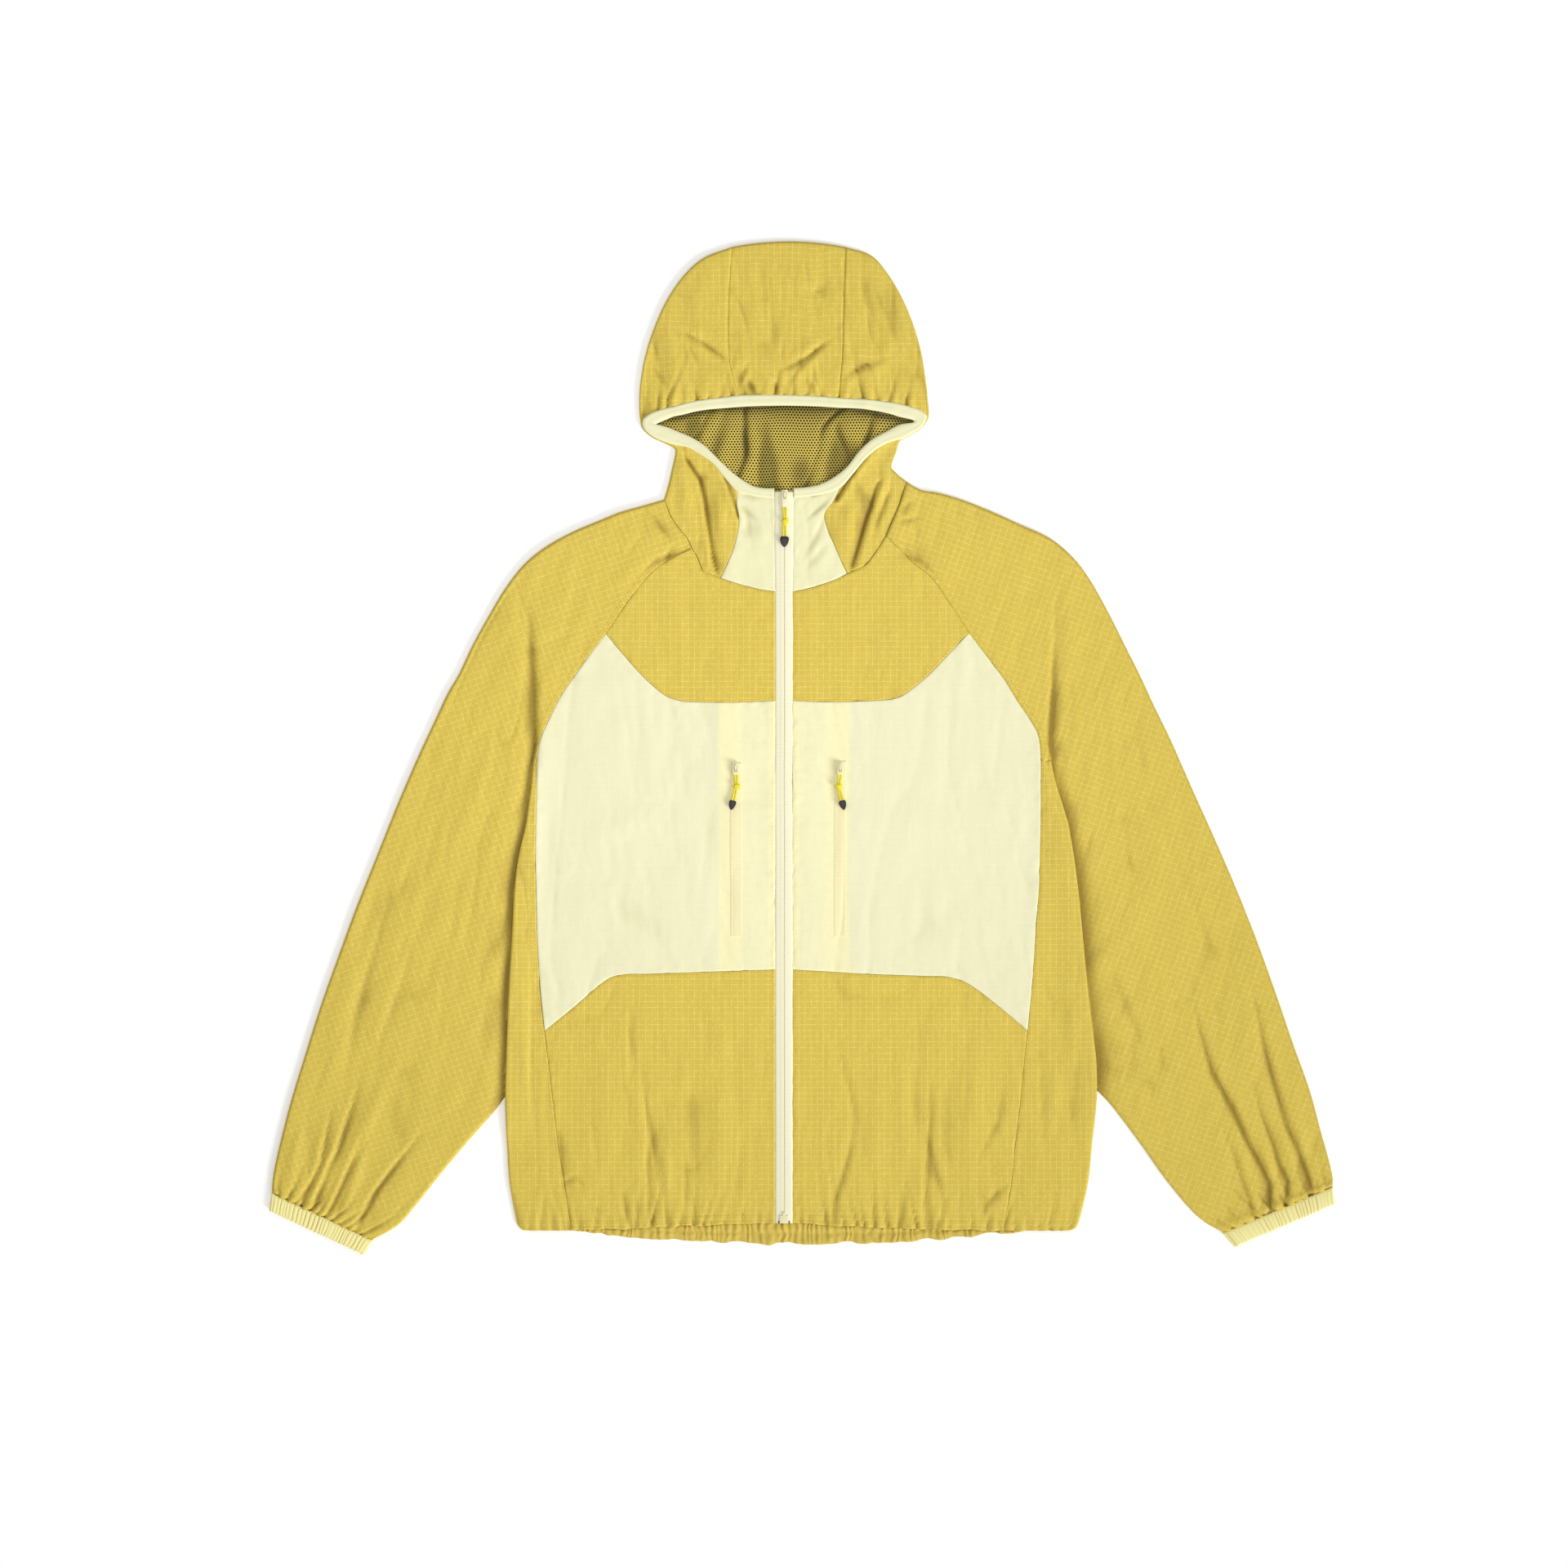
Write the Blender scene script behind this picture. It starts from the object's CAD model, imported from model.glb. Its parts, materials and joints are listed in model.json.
# %% [markdown]
# # A windbreaker jacket, laid flat
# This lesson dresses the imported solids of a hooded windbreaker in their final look.
# The jacket lies on its back, so nearly all that is seen is one thin layer of cloth.
# Each cloth piece is rebuilt from its own seam lines, because that is how the real one is cut.
# All tables are in millimetres: out is the distance from the zip line, up runs along it.

# %% Load the frame
import json
import math

import bpy
import numpy as np
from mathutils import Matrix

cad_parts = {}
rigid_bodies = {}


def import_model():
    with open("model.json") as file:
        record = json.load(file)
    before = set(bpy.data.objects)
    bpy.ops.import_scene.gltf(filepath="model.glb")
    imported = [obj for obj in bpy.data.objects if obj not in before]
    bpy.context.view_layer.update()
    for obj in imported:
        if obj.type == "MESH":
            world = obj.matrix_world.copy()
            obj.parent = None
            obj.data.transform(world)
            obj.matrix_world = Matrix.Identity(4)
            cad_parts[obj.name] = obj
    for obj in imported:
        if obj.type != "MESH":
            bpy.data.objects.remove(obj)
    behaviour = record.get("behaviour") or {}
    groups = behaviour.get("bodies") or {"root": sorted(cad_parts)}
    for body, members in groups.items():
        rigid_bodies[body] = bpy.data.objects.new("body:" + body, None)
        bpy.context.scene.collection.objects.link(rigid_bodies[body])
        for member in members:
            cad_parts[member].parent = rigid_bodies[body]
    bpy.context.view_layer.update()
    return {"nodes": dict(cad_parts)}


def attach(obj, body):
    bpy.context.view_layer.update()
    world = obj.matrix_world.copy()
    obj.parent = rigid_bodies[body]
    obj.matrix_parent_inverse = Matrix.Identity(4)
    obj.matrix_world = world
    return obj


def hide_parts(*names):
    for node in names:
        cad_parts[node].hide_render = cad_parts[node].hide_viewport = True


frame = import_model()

print("Nodes in the frame:", len(frame["nodes"]))

# %% [markdown]
# ## Tools for drawing seams
# A seam is a smooth line through a few measured points.
# A cloth piece is a grid stretched between its seams, and the grid is closer near the edges.
# That leaves room for the small roll that every sewn edge has.

# %% Seam lines
MM = 0.001
SIDES = {"right": -1, "left": 1}  # the sign of x on each side


def rows_of(names, rows):
    """A short table as arrays, one for each named column."""
    return dict(zip(names.split(), np.array(rows, float).T))


def both_sides(names, right, left):
    """The same table for the right and the left side of the jacket."""
    return {"right": rows_of(names, right), "left": rows_of(names, left)}


def through(points, steps=10):
    """A smooth line through every point."""
    p = np.asarray(points, float)
    p = np.vstack([2 * p[0] - p[1], p, 2 * p[-1] - p[-2]])
    a, b, c, d = p[:-3], p[1:-2], p[2:-1], p[3:]
    t = (np.arange(steps) / steps)[None, :, None]
    a, b, c, d = (q[:, None, :] for q in (a, b, c, d))
    line = 2 * b + (c - a) * t + (2 * a - 5 * b + 4 * c - d) * t**2
    line = (line + (3 * b - a - 3 * c + d) * t**3) / 2
    return np.vstack([line.reshape(-1, p.shape[1]), p[-2]])


def columns(table, *names):
    """The named columns of a table, side by side."""
    return np.stack([table[name] for name in names], 1)


def seam(table, side, part=slice(None)):
    """The smooth line through a seam's points, or through a part of them."""
    return through(columns(table[side], "out", "up")[part])


def length_of(line):
    """Length of a line through its points."""
    return np.linalg.norm(np.diff(line, axis=0), axis=1).sum()


def distances(line):
    """How far along the line each of its points lies."""
    return np.concatenate([[0], np.cumsum(np.linalg.norm(np.diff(line, axis=0), axis=1))])


def resample(line, shares):
    """Points at the given shares of a line's length."""
    along = distances(line) / length_of(line)
    return np.stack([np.interp(shares, along, line[:, k]) for k in range(line.shape[1])], 1)


def edge_shares(length, step=2.8):
    """Shares of a length, close together at both ends."""
    edge = np.array([0.1, 0.6, 1.2, 2.0, 3.2])
    middle = np.linspace(edge[-1], length - edge[-1], max(2, round(length / step)))
    return np.concatenate([edge[:-1], middle, length - edge[:-1][::-1]]) / length


def smooth(t):
    """A soft step from 0 to 1."""
    t = np.clip(t, 0, 1)
    return t * t * (3 - 2 * t)


def patch(bottom, top, zip_side, out_side):
    """Grid between four seams, with each point's distance to the nearest seam."""
    wide = (length_of(bottom) + length_of(top)) / 2
    high = (length_of(zip_side) + length_of(out_side)) / 2
    su, sv = edge_shares(wide), edge_shares(high)
    u, v = su[None, :, None], sv[:, None, None]
    low, up = resample(bottom, su)[None], resample(top, su)[None]
    near, far = resample(zip_side, sv)[:, None], resample(out_side, sv)[:, None]
    grid = (1 - v) * low + v * up + (1 - u) * near + u * far
    grid -= (1 - u) * (1 - v) * bottom[0] + u * (1 - v) * bottom[-1]
    grid -= (1 - u) * v * top[0] + u * v * top[-1]
    across = np.minimum(su, 1 - su) * wide
    along = np.minimum(sv, 1 - sv) * high
    return grid, np.minimum(across[None, :], along[:, None])


print("A seam of four points becomes", len(through(np.eye(4))), "points")

# %% [markdown]
# ## The height of every layer
# The front layer lies about five millimetres above the floor, over the back layer.
# At the sides it climbs over the hidden edge of the sleeve, which gives the dark gap there.
# Folds are soft ridges and troughs along short lines, and a lean makes one side higher.

# %% Edges and layers
SIDE_ROWS = both_sides("up seam edge back", right=[
    (139.5, 235.7, 238.9, 222), (117.0, 235.8, 241.2, 220), (97.0, 236.3, 243.8, 217),
    (78.0, 236.8, 246.6, 214), (46.8, 237.1, 253.5, 212), (15.6, 236.4, 257.4, 211),
    (-23.4, 235.6, 259.4, 211), (-70.2, 233.2, 262.2, 211), (-118.6, 228.5, 264.3, 211),
    (-148.0, 225.0, 265.2, 211), (-183.0, 220.8, 266.0, 211), (-226.0, 215.7, 264.4, 211),
    (-265.0, 209.5, 261.7, 211), (-309.0, 202.8, 253.7, 211),
], left=[
    (139.5, 244.9, 254.6, 234), (117.0, 244.9, 259.7, 234), (97.0, 244.9, 266.0, 233),
    (78.0, 244.8, 271.4, 232), (46.8, 244.1, 276.9, 230), (15.6, 243.2, 280.8, 228),
    (-23.4, 240.2, 284.7, 228), (-70.2, 237.1, 289.0, 228), (-118.6, 232.4, 294.5, 228),
    (-148.0, 229.2, 298.0, 228), (-183.0, 225.9, 298.3, 228), (-226.0, 220.8, 294.1, 228),
    (-265.0, 216.8, 290.0, 228), (-309.0, 209.0, 279.5, 228),
])
FRONT_TOP = 5.4
SIDE_LIFT = 2.2
CHIN_RISE = 0.8
HIDDEN_SLEEVE_TOP = 3.0
HEM_UP = -304
print("Rows down the side of the body:", len(SIDE_ROWS["right"]["up"]))


# %% Folds on the right
def creases(*table):
    """Folds along lines: rise, half width, the lift of one side, and how many ends fade."""

    def whole(points, rise, spread, lean=0.0, ends=2):
        return np.array(points, float), rise, spread, lean, ends

    return [whole(*row) for row in table]


FOLDS = {}
FOLDS["right"] = creases(
    ([(240, 92), (237, 128), (236, 156), (238, 211), (242, 277), (248, 326)], -1.9, 4.5, -1.3),
    ([(262, 310), (254, 250), (252, 180)], 0.94, 10),
    ([(137, -100), (137, -122), (133, -186), (122, -243), (120, -312)], -1.1, 2.6, 0.5),
    ([(146, -78), (146.6, -172)], -0.7, 3, 0.26),
    ([(128, -318), (131, -190)], -1.0, 3.2, 0.5, 1),
    ([(111, -210), (111, -296)], 1.0, 4, 0.3),
    ([(138, -120), (137, -290)], 0.8, 7),
    ([(218, -190), (210, -272), (207, -300)], -0.8, 2.6, 0.4),
    ([(190, -196), (185, -208), (176, -262)], -0.8, 2.4, 0.4),
    ([(158, -258), (147, -306)], -0.9, 2.4, 0.4),
    ([(218, -268), (201, -258), (184, -272)], -0.6, 2.2, 0.3),
    ([(95, -230), (92, -312)], -0.8, 2.4, 0.4),
    ([(180, -95), (172, -290)], 1.0, 12),
    ([(60, -150), (64, -290)], 0.94, 9),
    ([(88, -120), (84, -295)], -0.94, 9),
    ([(40, -200), (48, -306)], -0.6, 3, 0.3),
    ([(468, -292), (459, -273), (453, -263), (444, -244), (436, -205), (430, -170)],
     -1.8, 2.5, 0.8, 1),
    ([(460, -298), (452, -288), (448, -278), (435, -245), (428, -233), (414, -190), (402, -150)],
     -2.0, 3.0, 1.0, 1),
    ([(456, -285), (440, -255), (424, -205)], 1.5, 4.5),
    ([(444, -300), (438, -294), (428, -275), (414, -243), (398, -200)], -1.6, 2.5, 0.7, 1),
    ([(424, -296), (412, -262), (398, -226)], 1.6, 5),
    ([(416, -318), (411, -310), (401, -291), (392, -273), (379, -256), (352, -222), (338, -196)],
     -1.7, 2.7, 0.8, 1),
    ([(475, -276), (470, -240), (462, -200)], 1.4, 5),
    ([(446, -200), (424, -90), (404, -20)], 1.1, 10),
    ([(430, -215), (412, -110), (390, -30), (376, 20)], -0.9, 5, 0.4),
    ([(424, -288), (404, -220), (372, -140)], 1.2, 8),
    ([(398, -160), (374, -90), (352, -20)], -0.8, 5, 0.4),
    ([(392, -40), (352, 40), (322, 96)], -0.81, 11),
    ([(330, 30), (290, 120), (282, 160)], 0.81, 12),
    ([(132, 382), (120, 363), (107, 347)], -1.6, 3.6, 0.8),
    ([(93, 339), (125, 328), (138, 316)], -1.2, 3.6, -0.65),
    ([(104, 352), (112, 334), (116, 322)], -0.9, 2.6, 0.4),
    ([(120, 340), (150, 318), (176, 300)], 0.68, 9),
    ([(200, 60), (150, 78), (110, 96)], 0.68, 14),
    ([(170, 20), (140, -8), (108, -40)], -0.68, 14),
    ([(100, 250), (150, 216), (190, 190)], 0.61, 16),
    ([(225, 120), (224, 20), (216, -60)], -0.68, 9),
    ([(248, -20), (250, -120), (246, -200)], 0.94, 6),
    ([(241, -60), (243, -160), (238, -250)], -0.7, 2.6, 0.4),
)
print("Folds on the right:", len(FOLDS["right"]))

# %% Folds on the left
FOLDS["left"] = creases(
    ([(258, 96), (252, 132), (251, 164), (256, 211), (259, 277), (263, 310), (282, 326)],
     -1.2, 4.0, -1.1),
    ([(276, 300), (270, 240), (266, 180)], 0.94, 10),
    ([(48, -310), (50, -281), (65, -231), (70, -180)], -1.3, 2.6, 0.6, 1),
    ([(46, -101), (68, -194), (74, -240)], -0.9, 2.6, 0.4),
    ([(136, -320), (134, -282), (139, -218), (140, -140)], -1.4, 3.0, -0.6, 1),
    ([(125, -172), (144, -249), (160, -300)], -0.9, 2.6, 0.4),
    ([(186, -306), (193, -287), (221, -256)], -1.1, 3, 0.6),
    ([(214, -150), (206, -206), (176, -260)], -0.7, 2.8, 0.4),
    ([(90, -120), (84, -290)], 1.0, 10),
    ([(112, -110), (116, -290)], 0.9, 7),
    ([(186, -95), (176, -290)], 1.0, 11),
    ([(158, -110), (156, -290)], -0.94, 7),
    ([(246, -110), (247, -140), (249, -210), (252, -262)], -1.1, 2.8, 0.52),
    ([(258, -140), (258, -230)], 1.0, 3.5, 0.3),
    ([(466, -302), (466, -289), (465, -262), (458, -247), (445, -225), (430, -191), (411, -157),
      (398, -112), (391, -70)], -2.4, 3.2, 1.2, 1),
    ([(479, -300), (481, -283), (483, -262), (474, -243), (469, -225), (456, -191), (448, -155)],
     -1.9, 2.8, 0.9, 1),
    ([(470, -275), (462, -240), (450, -215)], 2.0, 4.5),
    ([(512, -290), (506, -268), (494, -232), (482, -207), (464, -143), (453, -91), (443, -50)],
     -2.1, 3.0, 1.1, 1),
    ([(492, -262), (482, -232), (470, -200)], 1.8, 4.5),
    ([(450, -300), (446, -280), (432, -240), (414, -200)], -1.3, 2.6, 0.5, 1),
    ([(430, -200), (446, -272)], 1.4, 7),
    ([(500, -250), (486, -160)], 1.2, 7),
    ([(322, 212), (334, 190)], -0.5, 3.4, 0.3),
    ([(336, 168), (350, 122)], -0.6, 3.4, 0.3),
    ([(326, 76), (336, 26)], -0.6, 3.4, 0.3),
    ([(400, -20), (356, 60), (320, 130)], 0.94, 11),
    ([(420, -60), (386, 20), (352, 90)], -0.8, 5, 0.4),
    ([(380, -110), (330, -20), (290, 60)], 0.81, 12),
    ([(352, -150), (330, -96), (306, -40)], -0.7, 4, 0.4),
    ([(103, 366), (133, 373)], -1.3, 3, 0.39),
    ([(105, 368), (117, 382), (130, 396)], -1.3, 3.4, 0.52),
    ([(93, 340), (128, 330), (150, 312)], -0.94, 4, -0.52),
    ([(200, 60), (150, 78), (110, 96)], 0.68, 14),
    ([(180, 20), (150, -10), (118, -40)], -0.68, 14),
    ([(104, 250), (154, 216), (196, 190)], 0.61, 16),
    ([(232, 120), (232, 20), (222, -60)], -0.68, 9),
    ([(270, -20), (276, -110), (276, -190)], 0.94, 7),
)
print("Folds on the left:", len(FOLDS["left"]))


# %% Heights
def table_at(table, name, up):
    """A column's value at any height between the rows."""
    return np.interp(up, table["up"][::-1], table[name][::-1])


FADES = {0: (0.1, 0.1), 1: (0.45, 0.02), 2: (0.45, 0.45)}  # shares at the far and the near end


def crease_height(table, out, up):
    """Height that soft ridges and troughs add at each point."""
    total = np.zeros_like(out)
    for points, rise, spread, lean, ends in table:
        away, beside, share = np.full_like(out, np.inf), np.zeros_like(out), np.zeros_like(out)
        lengths = np.linalg.norm(np.diff(points, axis=0), axis=1)
        so_far = 0.0
        for start, end, length in zip(points[:-1], points[1:], lengths):
            run = end - start
            normal = np.array([run[1], -run[0]]) / np.linalg.norm(run)
            normal = normal if normal[0] > 0 else -normal
            t = np.clip(((out - start[0]) * run[0] + (up - start[1]) * run[1]) / (run @ run), 0, 1)
            dx, dy = out - start[0] - t * run[0], up - start[1] - t * run[1]
            distance = np.hypot(dx, dy)
            nearer = distance < away
            beside = np.where(nearer, dx * normal[0] + dy * normal[1], beside)
            share = np.where(nearer, (so_far + t * length) / lengths.sum(), share)
            away = np.minimum(away, distance)
            so_far += length
        far, near = FADES[ends]
        fade = smooth((1 - share) / far) * smooth(share / near)
        wide = spread * (0.5 + 0.5 * fade)
        total += fade * rise * np.exp(-((away / wide) ** 2))
        total += fade * lean * np.tanh(2 * beside / wide) * np.exp(-((away / (3 * wide)) ** 2))
    return total


def fold_height(side, out, up):
    """Height of the larger folds on one side."""
    return crease_height(FOLDS[side], out, up)


def noise(x, y, size_x, size_y, seed):
    """Smooth uneven waves between -1 and 1, about as long as the given sizes."""
    lattice = np.random.default_rng(seed).uniform(-1, 1, (97, 89))
    gx, gy = x / size_x + 40, y / size_y + 40
    i, j = np.floor(gx).astype(int), np.floor(gy).astype(int)
    tx, ty = smooth(gx - i), smooth(gy - j)

    def pick(a, b):
        return lattice[(i + a) % 97, (j + b) % 89]

    low = pick(0, 0) * (1 - tx) + pick(1, 0) * tx
    high = pick(0, 1) * (1 - tx) + pick(1, 1) * tx
    return low * (1 - ty) + high * ty


def crumple(x, y, seed, amount=1.0):
    """The light crumpling of thin nylon, longer along the garment than across it."""
    waves = 0.42 * noise(x, y, 26, 90, seed) + 0.30 * noise(x, y, 12, 38, seed + 1)
    busy = smooth(noise(x, y, 60, 80, seed + 6) + 0.6)
    fine = 0.33 * noise(x + 0.2 * y, y, 5.5, 19, seed + 2) + 0.08 * noise(x, y, 3, 6, seed + 3)
    sharp = 0.6 * (1 - np.abs(noise(x + 0.15 * y, y, 17, 62, seed + 4))) ** 6
    long_lines = 0.75 * (1 - np.abs(noise(x - 0.08 * y, y, 34, 170, seed + 5))) ** 14
    return amount * (waves + (0.25 + 0.75 * busy) * (fine - sharp) - (0.2 + 0.8 * (1 - busy)) * long_lines)


def chin_share(up):
    """Above the neck seam the layer rises to the height of the chin guards."""
    return smooth((up - 301) / 60)


def front_top(side, out, up):
    """Height of the fronts, which climb over the sleeve below the armpit."""
    inside = table_at(SIDE_ROWS[side], "edge", up) - out
    reach = smooth((175 - up) / 50) * smooth((up + 235) / 40)
    lift = SIDE_LIFT * (1 - smooth(inside / 30)) * reach
    return FRONT_TOP + lift + CHIN_RISE * chin_share(up) + fold_height(side, out, up)


BODY_LINE = {
    "right": [(326, 248), (277, 242), (211, 238), (156, 237)],
    "left": [(326, 282), (310, 263), (277, 259), (211, 256), (164, 252)],
}


def body_edge(side, up):
    """Edge of the body, and above the armpit the crease that carries it on."""
    rows = np.array(BODY_LINE[side] + list(zip(SIDE_ROWS[side]["up"], SIDE_ROWS[side]["edge"])))
    return np.interp(-up, -rows[:, 0], rows[:, 1])


CREASE_STEP = {"right": 2.3, "left": 1.4}
ARMPIT_UP = 138.5


def sleeve_top(side, out, up):
    """Above the armpit a step down at the crease, and below it a hidden edge under the body."""
    outside = out - body_edge(side, up)
    drop = smooth((196 - up) / 50)
    over = smooth((outside + 2.0) / 4.5)
    beside = FRONT_TOP - CREASE_STEP[side] * drop * np.exp(-((outside / 12) ** 2))
    beside = beside + fold_height(side, out, up)
    open_top = front_top(side, out, up) * (1 - over) + beside * over
    near = (1 - smooth((outside - 3) / 9)) * smooth((up + 232) / 36)
    hidden = near * smooth((ARMPIT_UP - up) / 4)
    return open_top * (1 - hidden) + HIDDEN_SLEEVE_TOP * hidden


print("Height of the flat front layer:", FRONT_TOP, "mm")

# %% [markdown]
# ## Turning a grid into cloth
# The grid is the outer face of the cloth, and a solidify modifier gives it a real thickness.
# A grain map goes with it: the place of each point on the cut piece, in millimetres.
# The woven grid is drawn from that map, so it turns with each piece as it does when sewn.

# %% Cloth from a grid
SHEETS = []


def grid_faces(rows, columns):
    """The four corners of each face of a grid."""
    i, j = np.meshgrid(np.arange(rows - 1), np.arange(columns - 1), indexing="ij")
    a = (i * columns + j).ravel()
    return np.stack([a, a + 1, a + columns + 1, a + columns], 1)


def add_object(name, data):
    thing = bpy.data.objects.new(name, data)
    bpy.context.scene.collection.objects.link(thing)
    return thing


def make_mesh(name, points, faces, grain=None, shade=None):
    """A smooth-shaded mesh from points in millimetres, with its grain map and creased places."""
    mesh = bpy.data.meshes.new(name)
    mesh.from_pydata((np.asarray(points).reshape(-1, 3) * MM).tolist(), [], faces.tolist())
    mesh.update()
    if grain is not None:
        corners = np.zeros(len(mesh.loops), int)
        mesh.loops.foreach_get("vertex_index", corners)
        layer = mesh.uv_layers.new(name="grain")
        layer.data.foreach_set("uv", np.asarray(grain).reshape(-1, 2)[corners].ravel())
    if shade is not None:
        worn = mesh.attributes.new("creased", "FLOAT", "POINT")
        worn.data.foreach_set("value", np.clip(shade, 0, 1).ravel().astype(np.float32))
    mesh.polygons.foreach_set("use_smooth", np.ones(len(mesh.polygons), bool))
    return add_object(name, mesh)


def add_thickness(piece, millimetres, inside=0):
    wall = piece.modifiers.new("wall", "SOLIDIFY")
    wall.thickness = millimetres * MM
    wall.offset = -1
    wall.material_offset = inside
    wall.material_offset_rim = 0


def cloth(name, grid, grain, materials, nodes, thick=0.5, upward=None, shade=None):
    """One cloth piece from the grid of its outer face."""
    rows, columns = grid.shape[:2]
    faces = grid_faces(rows, columns)
    i, j = upward or (rows // 2, columns // 2)
    across, along = grid[i, j + 1] - grid[i, j], grid[i + 1, j] - grid[i, j]
    if np.cross(across, along)[2] < 0:
        faces = faces[:, ::-1]
    piece = make_mesh(name, grid, faces, grain, shade)
    for material in materials:
        piece.data.materials.append(material)
    add_thickness(piece, thick, len(materials) - 1)
    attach(piece, "jacket")
    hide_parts(*nodes)
    return piece


def cut_of(grid):
    """Width, length and area of the flat piece that this grid was cut as, in metres."""
    across = np.linalg.norm(np.diff(grid, axis=1), axis=2).sum(1).max()
    along = np.linalg.norm(np.diff(grid, axis=0), axis=2).sum(0).max()
    u = grid[1:, :-1] - grid[:-1, :-1]
    v = grid[:-1, 1:] - grid[:-1, :-1]
    area = np.linalg.norm(np.cross(u, v), axis=2).sum()
    return across * MM, along * MM, area * MM**2


def declare(piece, grid):
    """Names a piece as a sheet with its own cut size."""
    width, length, area = cut_of(grid)
    width = max(width, area / length * 1.01)
    SHEETS.append((piece.name, round(width, 3), round(length, 3), round(area, 4)))


def in_creases(relief, shallow=0.5, depth=2.6, strongest=0.75):
    """How far each point lies in a crease, from 0 on open cloth and in shallow dips."""
    return np.clip(-(relief + shallow) / depth, 0, strongest)


def place(side, grid, top):
    """Grid of out and up with its heights, as points in the frame."""
    return np.stack([SIDES[side] * grid[..., 0], grid[..., 1], top], 2)


def rolled_edge(away, depth=0.4, reach=1.0):
    """The dip of the cloth where it turns in at a seam."""
    return depth * np.exp(-((away / reach) ** 2))


def pucker(x, y, away, seed, amount=0.35):
    """Small ripples along a seam that die out away from it."""
    return amount * np.exp(-((away / 9) ** 2)) * noise(x + y, x - y, 7, 7, seed)


print("Each cloth piece carries a grain map in millimetres")

# %% [markdown]
# ## Ripstop nylon
# Ripstop is a thin plain weave with a thicker yarn every few threads, which stops a tear.
# Those yarns catch more light and draw a fine grid of about five and a half millimetres.
# They are uneven: each short stretch of line is a little brighter or duller than the next.

# %% Shader helpers
GRID_ACROSS = 5.85
GRID_ALONG = 5.46
LINE_WIDTH = 0.9
FACING_END = 64.0  # the pocket's facing reaches this far from the zip
LIGHT_BAND = (14.0, 42.0)  # and is paler between these distances


def linear(r, g, b):
    """A display colour from 0 to 255 as the shader's linear value."""
    c = np.array([r, g, b]) / 255
    c = np.where(c <= 0.04045, c / 12.92, ((c + 0.055) / 1.055) ** 2.4)
    return (*c, 1.0)


def new_material(name, colour, roughness):
    material = bpy.data.materials.new(name)
    material.use_nodes = True
    tree = material.node_tree
    shader = tree.nodes["Principled BSDF"]
    shader.inputs["Base Color"].default_value = colour
    shader.inputs["Roughness"].default_value = roughness
    shader.inputs["Specular IOR Level"].default_value = 0.25
    return material, tree, shader


def math_node(tree, operation, a, b=None, clamp=False):
    node = tree.nodes.new("ShaderNodeMath")
    node.operation = operation
    node.use_clamp = clamp
    for socket, value in zip(node.inputs, (a, b)):
        if isinstance(value, (int, float)):
            socket.default_value = value
        elif value is not None:
            tree.links.new(value, socket)
    return node.outputs[0]


def mix_node(tree, factor, first, second):
    """The first colour, or the second where the factor is 1."""
    node = tree.nodes.new("ShaderNodeMix")
    node.data_type = "RGBA"
    for socket, value in zip((node.inputs[0], node.inputs[6], node.inputs[7]), (factor, first, second)):
        if isinstance(value, bpy.types.NodeSocket):
            tree.links.new(value, socket)
        else:
            socket.default_value = value
    return node.outputs[2]


def grain_axes(tree):
    """The grain map, and its two axes across and along the piece, in millimetres."""
    grain = tree.nodes.new("ShaderNodeUVMap")
    grain.uv_map = "grain"
    split = tree.nodes.new("ShaderNodeSeparateXYZ")
    tree.links.new(grain.outputs[0], split.inputs[0])
    return grain.outputs[0], split.outputs[0], split.outputs[1]


def noise_node(tree, vector, scale, detail=2.0):
    node = tree.nodes.new("ShaderNodeTexNoise")
    node.inputs["Scale"].default_value = scale
    node.inputs["Detail"].default_value = detail
    tree.links.new(vector, node.inputs["Vector"])
    return node.outputs["Fac"]


def creased_node(tree):
    creased = tree.nodes.new("ShaderNodeAttribute")
    creased.attribute_name = "creased"
    return creased.outputs["Fac"]


def bump(tree, shader, height, strength, distance, invert=False):
    """Turns a height into the small relief of a shader."""
    lift = tree.nodes.new("ShaderNodeBump")
    lift.inputs["Strength"].default_value = strength
    lift.inputs["Distance"].default_value = distance
    lift.invert = invert
    tree.links.new(height, lift.inputs["Height"])
    tree.links.new(lift.outputs[0], shader.inputs["Normal"])


print("The yarn grid is", GRID_ACROSS, "by", GRID_ALONG, "mm")


# %% Cloth materials
def yarn(tree, axis, pitch, wander, strength):
    """Bright lines across one axis at every pitch, as a factor from 0 to 1."""
    moved = math_node(tree, "ADD", axis, math_node(tree, "MULTIPLY", wander, 1.2))
    place_in = math_node(tree, "FRACT", math_node(tree, "DIVIDE", moved, pitch))
    away = math_node(tree, "ABSOLUTE", math_node(tree, "SUBTRACT", place_in, 0.5))
    line = math_node(tree, "SUBTRACT", 1.0, math_node(tree, "DIVIDE", away, LINE_WIDTH / pitch / 2), True)
    return math_node(tree, "MULTIPLY", line, strength)


def crinkle_height(tree, vector):
    """Fine crinkles that run along the grain, as a height from 0 to 1."""
    stretch = tree.nodes.new("ShaderNodeMapping")
    stretch.inputs["Scale"].default_value = (1.0, 0.28, 1.0)
    tree.links.new(vector, stretch.inputs["Vector"])
    fine = noise_node(tree, stretch.outputs[0], 0.15, 3.0)
    busy = noise_node(tree, vector, 0.018, 1.0)
    busy = math_node(tree, "MULTIPLY", math_node(tree, "SUBTRACT", busy, 0.35), 3.0, True)
    busy = math_node(tree, "ADD", math_node(tree, "MULTIPLY", busy, 0.8), 0.2)
    return math_node(tree, "MULTIPLY", fine, busy)


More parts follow.
